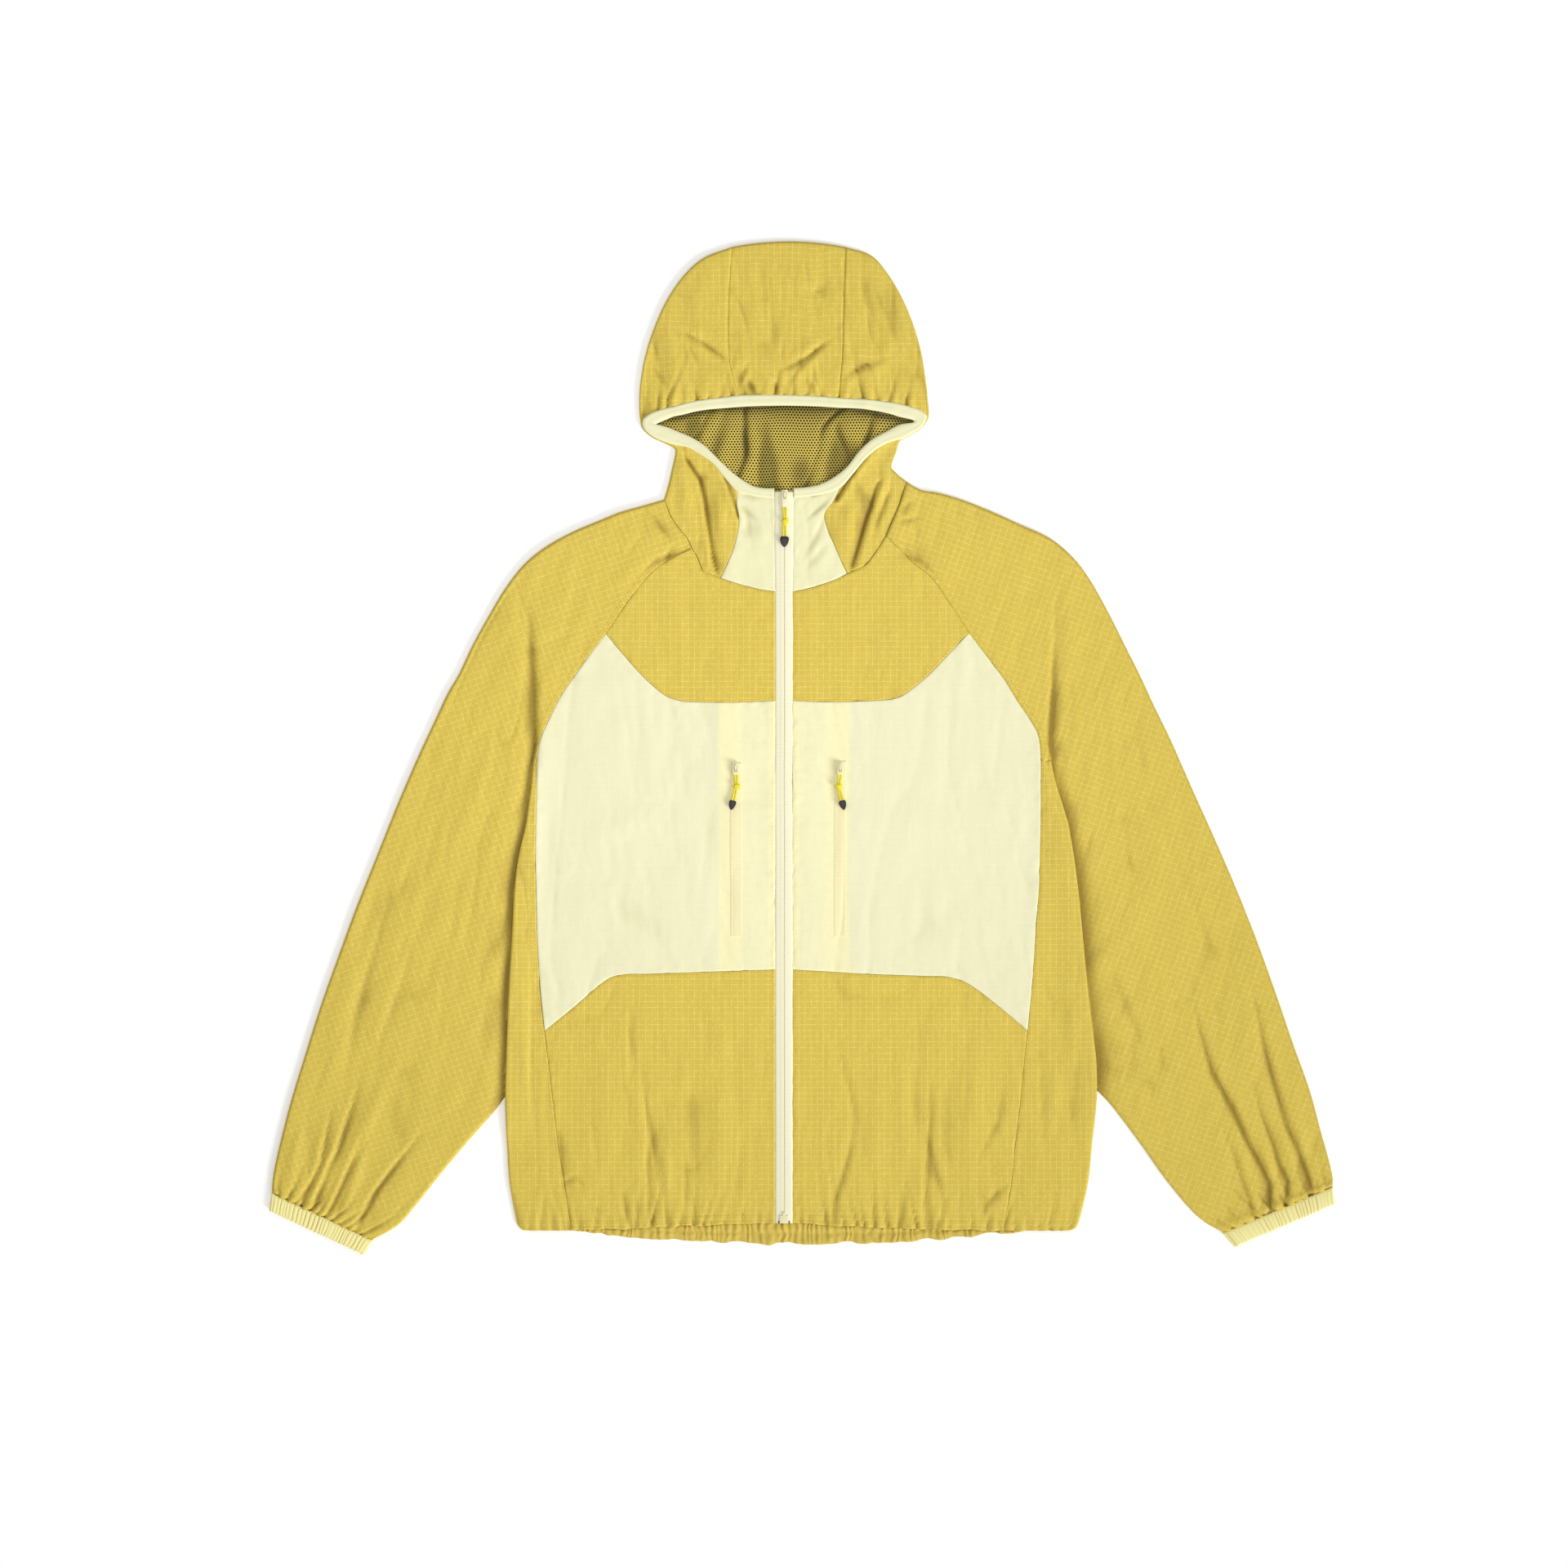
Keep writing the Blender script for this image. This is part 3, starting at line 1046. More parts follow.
# %% Hood tables
HOOD_ROWS = both_sides("face_out face_up face_top fold_out fold_up back_out", right=[
    (43.7, 487.5, 7.6, 49.9, 629.5, 45), (58.5, 485.6, 7.2, 76.4, 619.3, 49),
    (73.3, 484.0, 7.6, 95.2, 602.9, 53), (87.4, 481.7, 7.2, 111.5, 579.5, 57),
    (101.4, 478.1, 7.4, 124.0, 552.2, 61), (115.4, 474.6, 7.0, 132.6, 524.9, 65),
    (124.8, 471.5, 6.8, 137.3, 497.6, 69), (131.0, 468.0, 6.4, 138.1, 478.0, 72),
    (132.6, 463.3, 6.2, 137.3, 465.0, 75), (130.3, 457.9, 6.2, 135.0, 456.0, 78),
    (123.2, 451.6, 6.2, 126.4, 447.9, 80), (113.1, 446.9, 6.2, 115.0, 442.5, 82),
    (103.0, 442.3, 6.2, 104.8, 437.4, 84), (92.8, 438.4, 6.4, 103.7, 433.7, 86),
    (79.6, 431.3, 6.6, 104.5, 428.2, 88), (67.1, 422.0, 6.6, 106.0, 422.0, 90),
    (56.2, 408.7, 6.4, 107.6, 415.0, 92), (44.5, 396.2, 6.3, 109.2, 408.0, 94),
    (45.2, 384.5, 6.3, 110.5, 402.5, 96), (42.9, 369.7, 6.2, 111.5, 399.0, 98),
    (44.5, 354.9, 6.0, 112.3, 396.0, 100), (49.1, 339.3, 5.8, 113.1, 393.2, 102),
    (55.4, 324.5, 5.6, 113.9, 390.8, 104), (60.8, 313.6, 5.4, 114.7, 388.4, 106),
], left=[
    (52.3, 485.2, 7.6, 58.5, 629.5, 45), (65.5, 484.4, 7.2, 82.7, 621.7, 49),
    (78.0, 483.9, 7.6, 97.5, 606.1, 53), (91.3, 482.4, 7.2, 111.5, 583.4, 57),
    (104.5, 480.5, 7.4, 123.2, 556.1, 61), (117.0, 477.8, 7.0, 131.0, 528.8, 65),
    (126.4, 475.0, 6.8, 135.7, 499.2, 69), (133.0, 471.5, 6.4, 137.3, 483.6, 72),
    (133.4, 466.4, 6.2, 138.1, 468.0, 75), (128.7, 461.0, 6.2, 132.4, 457.5, 78),
    (118.6, 454.0, 6.2, 121.3, 449.8, 80), (110.8, 450.1, 6.2, 113.0, 445.5, 82),
    (104.5, 446.9, 6.2, 109.6, 442.5, 84), (96.7, 441.5, 6.4, 108.4, 438.4, 86),
    (86.6, 435.2, 6.6, 106.9, 433.0, 88), (76.4, 425.9, 6.6, 104.5, 427.0, 90),
    (65.5, 412.6, 6.4, 102.6, 421.0, 92), (53.0, 399.4, 6.3, 103.0, 417.8, 94),
    (46.8, 386.9, 6.3, 105.3, 415.7, 96), (38.6, 374.8, 6.2, 107.6, 413.4, 98),
    (41.3, 360.4, 6.0, 110.0, 411.1, 100), (48.4, 344.0, 5.8, 112.3, 409.2, 102),
    (55.4, 327.6, 5.6, 114.7, 407.4, 104), (60.8, 317.5, 5.4, 117.0, 405.6, 106),
])
CROWN_SEAM = both_sides("share out up", right=[
    (0, 43.7, 487.5), (0.33, 52.3, 523.4), (0.75, 53.0, 577.0), (1, 49.9, 629.5),
], left=[
    (0, 52.3, 485.2), (0.33, 55.4, 523.4), (0.75, 56.9, 577.0), (1, 58.5, 629.5),
])
BACK_NECK_UP = 388
BACK_INWARD = 0.55
HOOD_FOLD_TOP = 5.2
CENTRE_WIDTH = 108
HOOD_STEPS = 8
CROWN_GATHERS = [-120, -111, -97, -83, -72, -61, -48, -36, -25, -9, 2, 9, 20, 28, 37, 52, 62, 76,
                 90, 101, 117]
HOOD_CREASES = {
    "right": creases(
        ([(100, 434), (92, 421), (82, 407), (78, 390), (74, 366), (69, 336), (63, 312)],
         -2.7, 2.5, 1.3, 0),
        ([(60, 420), (57, 412), (52, 395), (47, 382), (43, 368)], -2.1, 2.4, 1.0, 0),
        ([(108, 436), (100, 420), (96, 395), (88, 360)], 1.6, 5),
        ([(66, 404), (62, 380), (60, 350)], 1.6, 6),
        ([(112, 556), (81, 540), (67, 530), (42, 512)], -1.8, 2.6, 1.1),
        ([(112, 545), (88, 531), (72, 520), (52, 506)], -0.9, 5),
        ([(96, 560), (74, 548), (56, 538)], 0.9, 7),
        ([(48, 596), (33, 607)], -1.0, 3.2, 0.4),
        ([(128, 520), (112, 492)], -1.1, 2.6, 0.4),
        ([(96, 548), (84, 520), (80, 492)], -0.9, 2.2, 0.4),
        ([(120, 560), (104, 520), (98, 490)], 0.8, 8),
    ),
    "left": creases(
        ([(82, 434), (66, 413), (58, 400), (48, 384)], -2.1, 2.5, 1.1, 0),
        ([(96, 412), (90, 398), (79, 367), (71, 340), (64, 318)], -2.4, 2.5, 1.3, 0),
        ([(106, 420), (102, 396), (90, 366), (84, 346)], -1.4, 2.6, 0.7),
        ([(104, 430), (96, 405), (88, 380)], 1.5, 5),
        ([(66, 390), (60, 365), (62, 340)], 1.4, 5),
        ([(44, 497), (53, 502), (76, 515), (108, 527)], -1.5, 2.8, 0.9),
        ([(0, 489), (14, 514), (30, 530), (50, 549)], -1.2, 2.6, 0.7),
        ([(-45, 490), (-39, 508), (-32, 524)], -1.1, 2.6, 0.6),
        ([(-14, 508), (9, 516), (26, 527), (52, 547)], -1.5, 2.6, 0.8),
        ([(0, 520), (20, 530), (40, 548)], 0.8, 6),
        ([(4, 592), (30, 588), (52, 590)], -0.8, 4, 0.4),
        ([(112, 560), (92, 520), (84, 490)], 0.8, 8),
        ([(-36, 508), (-28, 492), (-24, 486)], -1.5, 3, 0.7),
        ([(-12, 506), (-9, 494), (-8, 486)], -1.4, 3, -0.7),
        ([(18, 512), (24, 500), (28, 488)], -1.2, 3, 0.6),
    ),
}
print("Creases on each side of the hood:", [len(c) for c in HOOD_CREASES.values()])


# %% Shape of the hood
def crown_bend(side, shares):
    """How far the crown seam leaves the straight line between its ends."""
    line = CROWN_SEAM[side]
    offsets = []
    for name in ("out", "up"):
        straight = line[name][0] + (line[name][-1] - line[name][0]) * shares
        smooth_line = through(columns(line, "share", name))
        offsets.append(np.interp(shares, smooth_line[:, 0], smooth_line[:, 1]) - straight)
    return np.stack(offsets, 1)


def neck_bend(side, shares):
    """How far the neck seam leaves the straight line between its ends."""
    line = seam(NECK_SEAM, side, part=slice(CHIN_POINTS - 1, None))
    straight = line[0] + (line[-1] - line[0]) * shares[:, None]
    return resample(line, shares) - straight


def crown_gathers(x, above):
    """Short sharp tucks along the face opening, with a puff beside each."""
    total = np.zeros_like(x)
    for k, centre in enumerate(CROWN_GATHERS):
        tall = 7 + 5 * ((k * 7) % 4)
        deep = 1.9 + 0.9 * math.sin(2.3 * k)
        sway = centre + 0.4 * math.sin(1.7 * k) * above
        fade = np.exp(-above / tall)
        total -= deep * fade * np.exp(-(((x - sway) / 1.5) ** 2))
        total += 0.6 * deep * fade * np.exp(-(((x - sway - 4.5) / 3.2) ** 2))
    return total


def hood_relief(side, out, up):
    """Creases, gathers and crumples of the hood."""
    x = SIDES[side] * out
    relief = crease_height(HOOD_CREASES[side], out, up)
    relief = relief + crown_gathers(x, np.clip(up - 484, 0, None)) * smooth((up - 468) / 8)
    return relief + crumple(x, up, 71, 1.5)


def hood_heights(side, out, up, shares, face_top):
    """Height of the upper layer, quieter near the outline."""
    base = face_top + (HOOD_FOLD_TOP - face_top) * smooth(shares * 1.5)
    quiet = smooth((1 - shares) * 8)
    return base + hood_relief(side, out, up) * (0.25 + 0.75 * quiet)


def hood_shade(side, grid, out, up):
    """Creases on the upper layer, and the dark hollow of the back layer behind the lining."""
    x, y, z = grid[..., 0], grid[..., 1], grid[..., 2]
    hollow = smooth((122 - np.abs(x)) / 12) * smooth((505 - y) / 10) * (z < 1.5)
    shade = 0.9 * hollow
    shade[:, :out.shape[1]] = in_creases(hood_relief(side, out, up), 0.6, strongest=0.92)
    shade[:, out.shape[1]:out.shape[1] + ARC - 1] = FOLD_SHADE
    return shade


print("Tucks along the face opening:", len(CROWN_GATHERS))


# %% Hood side pieces and centre strip
def hood_side(side):
    """From the face opening to the outline, and down the back to the neck."""
    names = ("face_out", "face_up", "fold_out", "fold_up", "back_out", "face_top")
    line = through(columns(HOOD_ROWS[side], *names), HOOD_STEPS)
    start, fold = line[:, :2], line[:, 2:4]
    back = np.stack([line[:, 4], np.full(len(line), BACK_NECK_UP)], 1)
    row = np.arange(len(line)) / HOOD_STEPS
    length = np.maximum(np.linalg.norm(fold - start, axis=1), 1e-6)[:, None]
    shares = edge_shares(150, 2.2)[:38]
    shares = shares / shares[-1]
    neck = neck_bend(side, shares)[None] * smooth((row - 18) / 5)[:, None, None]
    crown = crown_bend(side, shares)[None] * smooth((4 - row) / 4)[:, None, None]
    plan = start[:, None] + (fold - start)[:, None] * shares[None, :, None] + neck + crown
    out, up = plan[..., 0], plan[..., 1]
    top = hood_heights(side, out, up, shares[None, :], line[:, 5:6])
    away = np.minimum(row, row[-1] - row)[:, None] * 16
    top += pucker(out, up, away, 75) - rolled_edge(away) - 0.4 * rolled_edge(shares[None] * length)
    grid = folded(side, start, fold, back, shares, top, neck + crown, BACK_INWARD)
    name = f"{side}_hood_side"
    shade = hood_shade(side, grid, out, up)
    piece = cloth(name, grid, unrolled(grid), [MUSTARD, INSIDE], [name], upward=(40, 10),
                  shade=shade)
    declare(piece, grid)


def hood_centre():
    """The strip over the crown, between the two side pieces."""
    t = edge_shares(CENTRE_WIDTH, 1.5)
    crest = 1 - (2 * t - 1) ** 2

    def between(name, sign=1):
        """From the right piece's first row to the left one's."""
        right, left = sign * HOOD_ROWS["right"][name][0], HOOD_ROWS["left"][name][0]
        return right + (left - right) * t

    start = np.stack([between("face_out", -1), between("face_up") + 1.6 * crest], 1)
    fold = np.stack([between("fold_out", -1), between("fold_up") + 5.4 * crest], 1)
    back = np.stack([between("back_out", -1), np.full(len(t), BACK_NECK_UP)], 1)
    shares = edge_shares(290, 2.6)[:58]
    shares = shares / shares[-1]
    low, high = crown_bend("right", shares), crown_bend("left", shares)
    low[:, 0] *= -1
    bend = low[None] * (1 - t)[:, None, None] + high[None] * t[:, None, None]
    plan = start[:, None] + (fold - start)[:, None] * shares[None, :, None] + bend
    top = hood_heights("left", plan[..., 0], plan[..., 1], shares[None, :], np.full((len(t), 1), 7.4))
    away = (np.minimum(t, 1 - t) * CENTRE_WIDTH)[:, None]
    top += pucker(plan[..., 0], plan[..., 1], away, 78) - rolled_edge(away)
    grid = folded("left", start, fold, back, shares, top, bend, BACK_INWARD)
    shade = hood_shade("left", grid, plan[..., 0], plan[..., 1])
    piece = cloth("hood_centre", grid, unrolled(grid), [MUSTARD, INSIDE],
                  ["hood_centre"], upward=(20, 10), shade=shade)
    declare(piece, grid)


for side in SIDES:
    hood_side(side)
hood_centre()
print("Hood pieces:", SHEETS[-3:])

# %% [markdown]
# ## Mesh lining
# The lining is a knitted mesh with real holes, so the darker back of the hood shows through.
# Each hole is a small ring of six strips in a honeycomb, about three millimetres apart.
# It hangs a little slack, in soft upright folds.

# %% Lining
LINING_ROWS = rows_of("up right left", [
    (386, 26, 26), (398, 46, 50), (410, 64, 68), (422, 76, 82), (434, 88, 92),
    (446, 102, 104), (456, 116, 116), (466, 125, 126), (480, 127, 127), (500, 125, 125)])
MESH_PITCH = 2.9
HOLE_SHARE = 0.56
LINING_TOP = 3.9
LINING_FOLDS = [(-92, 3.5, -1.0, 0.5), (-66, 5, -1.3, 0.3), (-40, 3.2, -2.0, 0.1), (-21, 4.5, -1.3, -0.4),
                (37, 3.4, -2.1, 0.35), (62, 5, -1.8, -0.3), (80, 3.2, -1.6, 0.2), (104, 4, -0.9, -0.4)]


def lining_height(x, up):
    """Soft upright folds, each at its own place, width, depth and slant."""
    height = LINING_TOP + 0.35 * noise(x, up, 16, 40, 81)
    for centre, wide, deep, slant in LINING_FOLDS:
        bow = 7 * noise(up, up * 0 + centre, 24, 50, 82)
        place_at = centre + slant * (up - 440) + bow
        deep = deep * (0.75 + 0.55 * noise(up, up * 0 + 3 * centre, 21, 50, 83))
        height += deep * np.exp(-(((x - place_at) / wide) ** 2))
        height += 0.35 * np.abs(deep) * np.exp(-(((x - place_at - 2.2 * wide) / (1.5 * wide)) ** 2))
    return np.clip(height, 1.5, 4.9)


def mesh_lining():
    """Rings of six strips round real holes, on the lining's folds."""
    rise = MESH_PITCH * math.sqrt(3) / 2
    corners = np.arange(6) * np.pi / 3 + np.pi / 6
    ring = np.stack([np.cos(corners), np.sin(corners)], 1) * MESH_PITCH / math.sqrt(3)
    points, faces, known = [], [], {}

    def corner(p):
        key = (round(p[0], 2), round(p[1], 2))
        if key not in known:
            known[key] = len(points)
            points.append(p)
        return known[key]

    cells = 0
    for j in range(int((LINING_ROWS["up"][-1] - LINING_ROWS["up"][0]) / rise)):
        up = LINING_ROWS["up"][0] + j * rise
        right = np.interp(up, LINING_ROWS["up"], LINING_ROWS["right"])
        left = np.interp(up, LINING_ROWS["up"], LINING_ROWS["left"])
        for i in range(-46, 47):
            x = (i + 0.5 * (j % 2)) * MESH_PITCH
            if not -right < x < left:
                continue
            outer = [corner(p) for p in (ring + [x, up]).tolist()]
            first = len(points)
            points.extend((ring * HOLE_SHARE + [x, up]).tolist())
            cells += 1
            for k in range(6):
                n = (k + 1) % 6
                faces.append([outer[k], outer[n], first + n, first + k])
    flat = np.array(points)
    drift = [1.5 * noise(flat[:, 0], flat[:, 1], 26, 34, seed) for seed in (86, 87)]
    flat = flat + np.stack(drift, 1)
    top = lining_height(flat[:, 0], flat[:, 1])
    shade = np.clip((LINING_TOP - top) / 2.2, 0, 0.9)
    shade = np.maximum(shade, 0.55 * smooth(noise(flat[:, 0], flat[:, 1], 17, 46, 85) * 1.6))
    under_edge = np.interp(np.abs(flat[:, 0]), (0, 60, 118), (476, 474, 462)) - flat[:, 1]
    fall = 4 + 7 * np.exp(-(((flat[:, 0] - 18) / 48) ** 2))
    shade = np.maximum(shade, 0.85 * np.exp(-np.clip(under_edge, 0, None) / fall))
    piece = make_mesh("hood_lining", np.column_stack([flat, top]), np.array(faces), flat, shade)
    piece.data.materials.append(MESH)
    add_thickness(piece, 0.3)
    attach(piece, "jacket")
    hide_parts("hood_lining")
    area = cells * MESH_PITCH * rise * (1 - HOLE_SHARE**2) * MM**2
    SHEETS.append(("hood_lining", 0.258, 0.118, round(area, 4)))
    print("Holes in the mesh:", cells)


def plain_nylon(name, base, dark, deep=None):
    """Cloth or yarn without a grid, and darker in its creases where a deep colour is given."""
    material, tree, shader = new_material(name, linear(*base), 0.6)
    soft = noise_node(tree, grain_axes(tree)[0], 0.9, 3.0)
    colour = mix_node(tree, soft, linear(*base), linear(*dark))
    if deep:
        colour = mix_node(tree, creased_node(tree), colour, linear(*deep))
    tree.links.new(colour, shader.inputs["Base Color"])
    bump(tree, shader, soft, 0.3, 0.0002)
    return material


MESH = plain_nylon("mesh yarn", (226, 203, 94), (206, 183, 80), deep=(80, 72, 28))
mesh_lining()

# %% [markdown]
# ## Chin guards
# Two pale pieces stand between the zip and the hood, from the neck seam up to the binding.

# %% Chin guards
CHIN_TOP = both_sides("outer_out outer_up inner_out inner_up", right=[
    (44.5, 396.2, 37.4, 405.6), (33.0, 392.6, 28.1, 400.9), (21.0, 390.4, 18.7, 399.4),
    (9.2, 389.2, 9.2, 399.2),
], left=[
    (53.0, 399.4, 46.0, 408.7), (36.0, 393.4, 33.0, 402.5), (22.0, 391.2, 20.3, 400.1),
    (9.2, 389.8, 9.2, 399.4),
])
FACE_END_ROW = 17
CHIN_CREASES = {
    "right": creases(
        ([(46, 394), (20, 388)], -1.0, 2.0, 0.4),
        ([(46, 388), (39, 379), (24, 366)], -1.2, 2.3, 0.5),
        ([(37, 386), (34, 357), (28, 345)], -1.0, 2.8, 0.4),
        ([(43, 367), (35, 347)], -0.6, 3, 0.3),
        ([(22, 372), (17, 340)], 0.7, 5),
        ([(30, 350), (26, 320)], 0.5, 6),
    ),
    "left": creases(
        ([(47, 392), (34, 380), (18, 366)], -1.2, 2.3, 0.5),
        ([(43, 380), (31, 352), (16, 326)], -1.2, 3.0, 0.6),
        ([(45, 352), (34, 336), (18, 318)], -0.8, 3.0, 0.4),
        ([(20, 388), (40, 396)], -0.7, 2.0, 0.3),
        ([(34, 378), (28, 350)], 0.6, 5),
    ),
}


def chin_guard(side):
    """A pale piece between the neck seam, the zip, the binding and the hood."""
    face = through(columns(HOOD_ROWS[side], "face_out", "face_up")[FACE_END_ROW:])[::-1]
    top_line = through(columns(CHIN_TOP[side], "outer_out", "outer_up"))[::-1]
    neck = seam(NECK_SEAM, side, part=slice(0, CHIN_POINTS))
    grid, away = patch(neck, top_line, zip_line(neck[0, 1], top_line[0, 1]), face)
    grid = beside_zip(grid)
    out, up = grid[..., 0], grid[..., 1]
    relief = crease_height(CHIN_CREASES[side], out, up) + crumple(SIDES[side] * out, up, 91, 0.8)
    top = front_top(side, out, up) + relief - rolled_edge(away) + pucker(out, up, away, 95)
    points = place(side, grid, top)
    name = f"{side}_chin_guard"
    piece = cloth(name, points, points[..., :2], [PALE], [name],
                  shade=in_creases(relief, 0.3))
    declare(piece, points)


for side in SIDES:
    chin_guard(side)
print("Chin guard cuts:", SHEETS[-2:])

# %% [markdown]
# ## Binding round the face opening
# A folded strip of cloth covers the raw edges all round the opening and along the neck.
# It is one long piece, slightly full, so its surface ripples between the stitches.

# %% Hood binding
BINDING_INNER = both_sides("out up", right=[
    (42.9, 476.6), (57.7, 475.4), (71.8, 474.2), (84.2, 472.3), (96.7, 469.2), (106.1, 467.2),
    (111.5, 464.9), (115.4, 463.0), (116.4, 461.8), (115.4, 460.2), (109.2, 456.7), (99.1, 452.4),
    (89.7, 448.5), (78.0, 441.5), (70.2, 434.5), (60.1, 424.3), (49.1, 414.2), (37.4, 405.6),
], left=[
    (52.0, 475.8), (64.7, 475.4), (76.4, 474.6), (88.1, 472.7), (99.8, 470.3), (110.0, 467.2),
    (117.0, 465.7), (121.7, 464.5), (123.2, 463.3), (121.7, 461.8), (111.5, 460.2), (104.5, 457.1),
    (97.5, 453.2), (88.1, 448.5), (79.6, 442.3), (71.0, 433.7), (59.3, 418.9), (46.0, 408.7),
])
CORNER_REACH = {"right": 0.7, "left": 0.85}
CORNER_SHIFT = {"right": 5.5, "left": 0.8}
BINDING = plain_nylon("binding cloth", (243, 240, 199), (236, 233, 188))
print("Binding:", {side: len(rows["out"]) for side, rows in BINDING_INNER.items()}, "points")


# %% Binding round the opening
def binding_line():
    """Outer and inner edges and the height, from the right end of the neck round to the left."""

    def half(side):
        rows, inner, sign = HOOD_ROWS[side], BINDING_INNER[side], SIDES[side]
        count = len(inner["out"])
        most = CORNER_REACH[side]
        reach = np.interp(range(count), (7, 8, 9, 11, 13), (0, 0.6 * most, most, most, 0))
        outer_out = rows["face_out"][:count] * (1 - reach) + rows["fold_out"][:count] * reach
        outer_up = rows["face_up"][:count] * (1 - reach) + rows["fold_up"][:count] * reach
        sharp = CORNER_SHIFT[side] * np.interp(range(count), (6, 8, 10), (0, 1, 0))
        inner_out, inner_up = inner["out"] + sharp, inner["up"] - 0.3 * sharp
        line = [(sign * outer_out[i], outer_up[i], sign * inner_out[i],
                 inner_up[i], rows["face_top"][i] + 0.9) for i in range(count)]
        chin = CHIN_TOP[side]
        return line + [(sign * chin["outer_out"][i], chin["outer_up"][i], sign * chin["inner_out"][i],
                        chin["inner_up"][i], 7.1) for i in (1, 2, 3)]

    right, left = np.array(half("right"))[::-1], np.array(half("left"))
    t = np.linspace(0, 1, 7)[1:-1, None]
    middle = right[-1] * (1 - t) + left[0] * t
    middle[:, [1, 3]] += 1.6 * (1 - (2 * t - 1) ** 2)
    middle[:, 4] = 8.4
    return through(np.vstack([right, middle, left]), 8)


def hood_binding():
    """The folded strip, from a rounded section drawn along its line."""
    line = binding_line()
    outer, inner, top = line[:, 0:2], line[:, 2:4], line[:, 4]
    along = distances((outer + inner) / 2)
    section = [(0.0, -2.4), (-0.02, -1.2), (0.02, -0.5), (0.10, -0.1), (0.22, 0.15), (0.30, -0.05),
               (0.45, 0.12), (0.62, 0.2), (0.78, 0.1), (0.92, -0.25), (1.0, -0.9), (1.01, -1.7), (0.98, -2.4)]
    grid = []
    for share, rise in section:
        point = outer + (inner - outer) * share
        ripple = 0.12 * noise(along, along * 0 + 60 * share, 5.5, 30, 101) * (1 if rise > -0.6 else 0)
        grid.append(np.column_stack([point, top + rise + ripple]))
    grid = np.stack(grid, 1)
    width = np.linalg.norm(inner - outer, axis=1)
    grain = np.stack([np.array([s for s, _ in section])[None, :] * width[:, None],
                      np.repeat(along[:, None], len(section), 1)], 2)
    piece = cloth("hood_binding", grid, grain, [BINDING], ["hood_binding"], thick=0.6,
                  upward=(len(grid) // 2, 6))
    declare(piece, grid)


hood_binding()
print("Binding cut:", SHEETS[-1])

# %% [markdown]
# ## The main zip
# The zip is a coil kind that matches the pale cloth: two woven tapes and a fine spiral between.
# Its teeth are small, so the coil shows as one ribbed ridge with a slit down the middle.

# %% Zip tapes
ZIP_TOP, ZIP_BOTTOM = 396, -302
COIL_WIDTH = 4.4
RIB_PITCH = 1.3


def zip_height(up):
    """The tapes lie a little below the fronts, and rise with them at the neck."""
    return FRONT_TOP + (CHIN_RISE + 0.25) * chin_share(up) - 0.65


def zip_cloth(name, base, dark):
    """Woven tape: fine ribs across it, deeper on the coil."""
    material, tree, shader = new_material(name, linear(*base), 0.55)
    _, across, along = grain_axes(tree)
    ribs = math_node(tree, "SINE", math_node(tree, "MULTIPLY", along, 2 * math.pi / RIB_PITCH))
    ribs = math_node(tree, "ADD", math_node(tree, "MULTIPLY", ribs, 0.5), 0.5)
    coil = math_node(tree, "LESS_THAN", across, COIL_WIDTH)
    strength = math_node(tree, "ADD", math_node(tree, "MULTIPLY", coil, 0.5), 0.12)
    shade = math_node(tree, "MULTIPLY", ribs, strength)
    tree.links.new(mix_node(tree, shade, linear(*base), linear(*dark)), shader.inputs["Base Color"])
    bump(tree, shader, ribs, 0.5, 0.0003, invert=True)
    return material


TAPE = zip_cloth("zip tape", (250, 246, 213), (240, 234, 196))


def zip_tape(side):
    """One tape and its half of the coil, which tucks in under the front's edge."""
    ups = np.arange(ZIP_BOTTOM, ZIP_TOP + 1, 2.0)
    section = [(12.0, -1.4), (10.4, -1.0), (9.5, -0.3), (9.0, 0.4), (6.6, 0.7), (4.8, 0.74), (4.2, 0.8),
               (3.2, 0.95), (2.2, 1.02), (1.2, 1.03), (0.6, 0.98), (0.12, 0.75), (0.06, 0.0)]
    grid = []
    for out, rise in section:
        wave = 0.10 * noise(ups, ups * 0 + out, 30, 9, 111) * (1 if 0 < out < 9 else 0)
        height = zip_height(ups) + rise + wave
        sway = 0.12 * noise(ups, ups * 0, 60, 9, 117)
        tucked = out - zip_cover(ups) * np.clip((out - 6) / 3, 0, 1)
        grid.append(np.column_stack([SIDES[side] * tucked + sway, ups, height]))
    grid = np.stack(grid, 1)
    grain = np.stack([np.abs(grid[..., 0]), grid[..., 1]], 2)
    name = f"{side}_zip_tape"
    piece = cloth(name, grid, grain, [TAPE], [name], upward=(100, 6))
    declare(piece, grid)


for side in SIDES:
    zip_tape(side)
print("Zip tapes:", SHEETS[-2:])

# %% [markdown]
# ## Pocket zips
# Each pocket closes with its own slim zip, sewn on top of the pale panel.

# %% Pocket zips
POCKET_ZIPS = {"right": (40.6, 51.5, 138.8, -28.9), "left": (47.6, 59.3, 139.6, -28.9)}
POCKET_TAPE = zip_cloth("pocket tape", (253, 243, 193), (247, 233, 180))


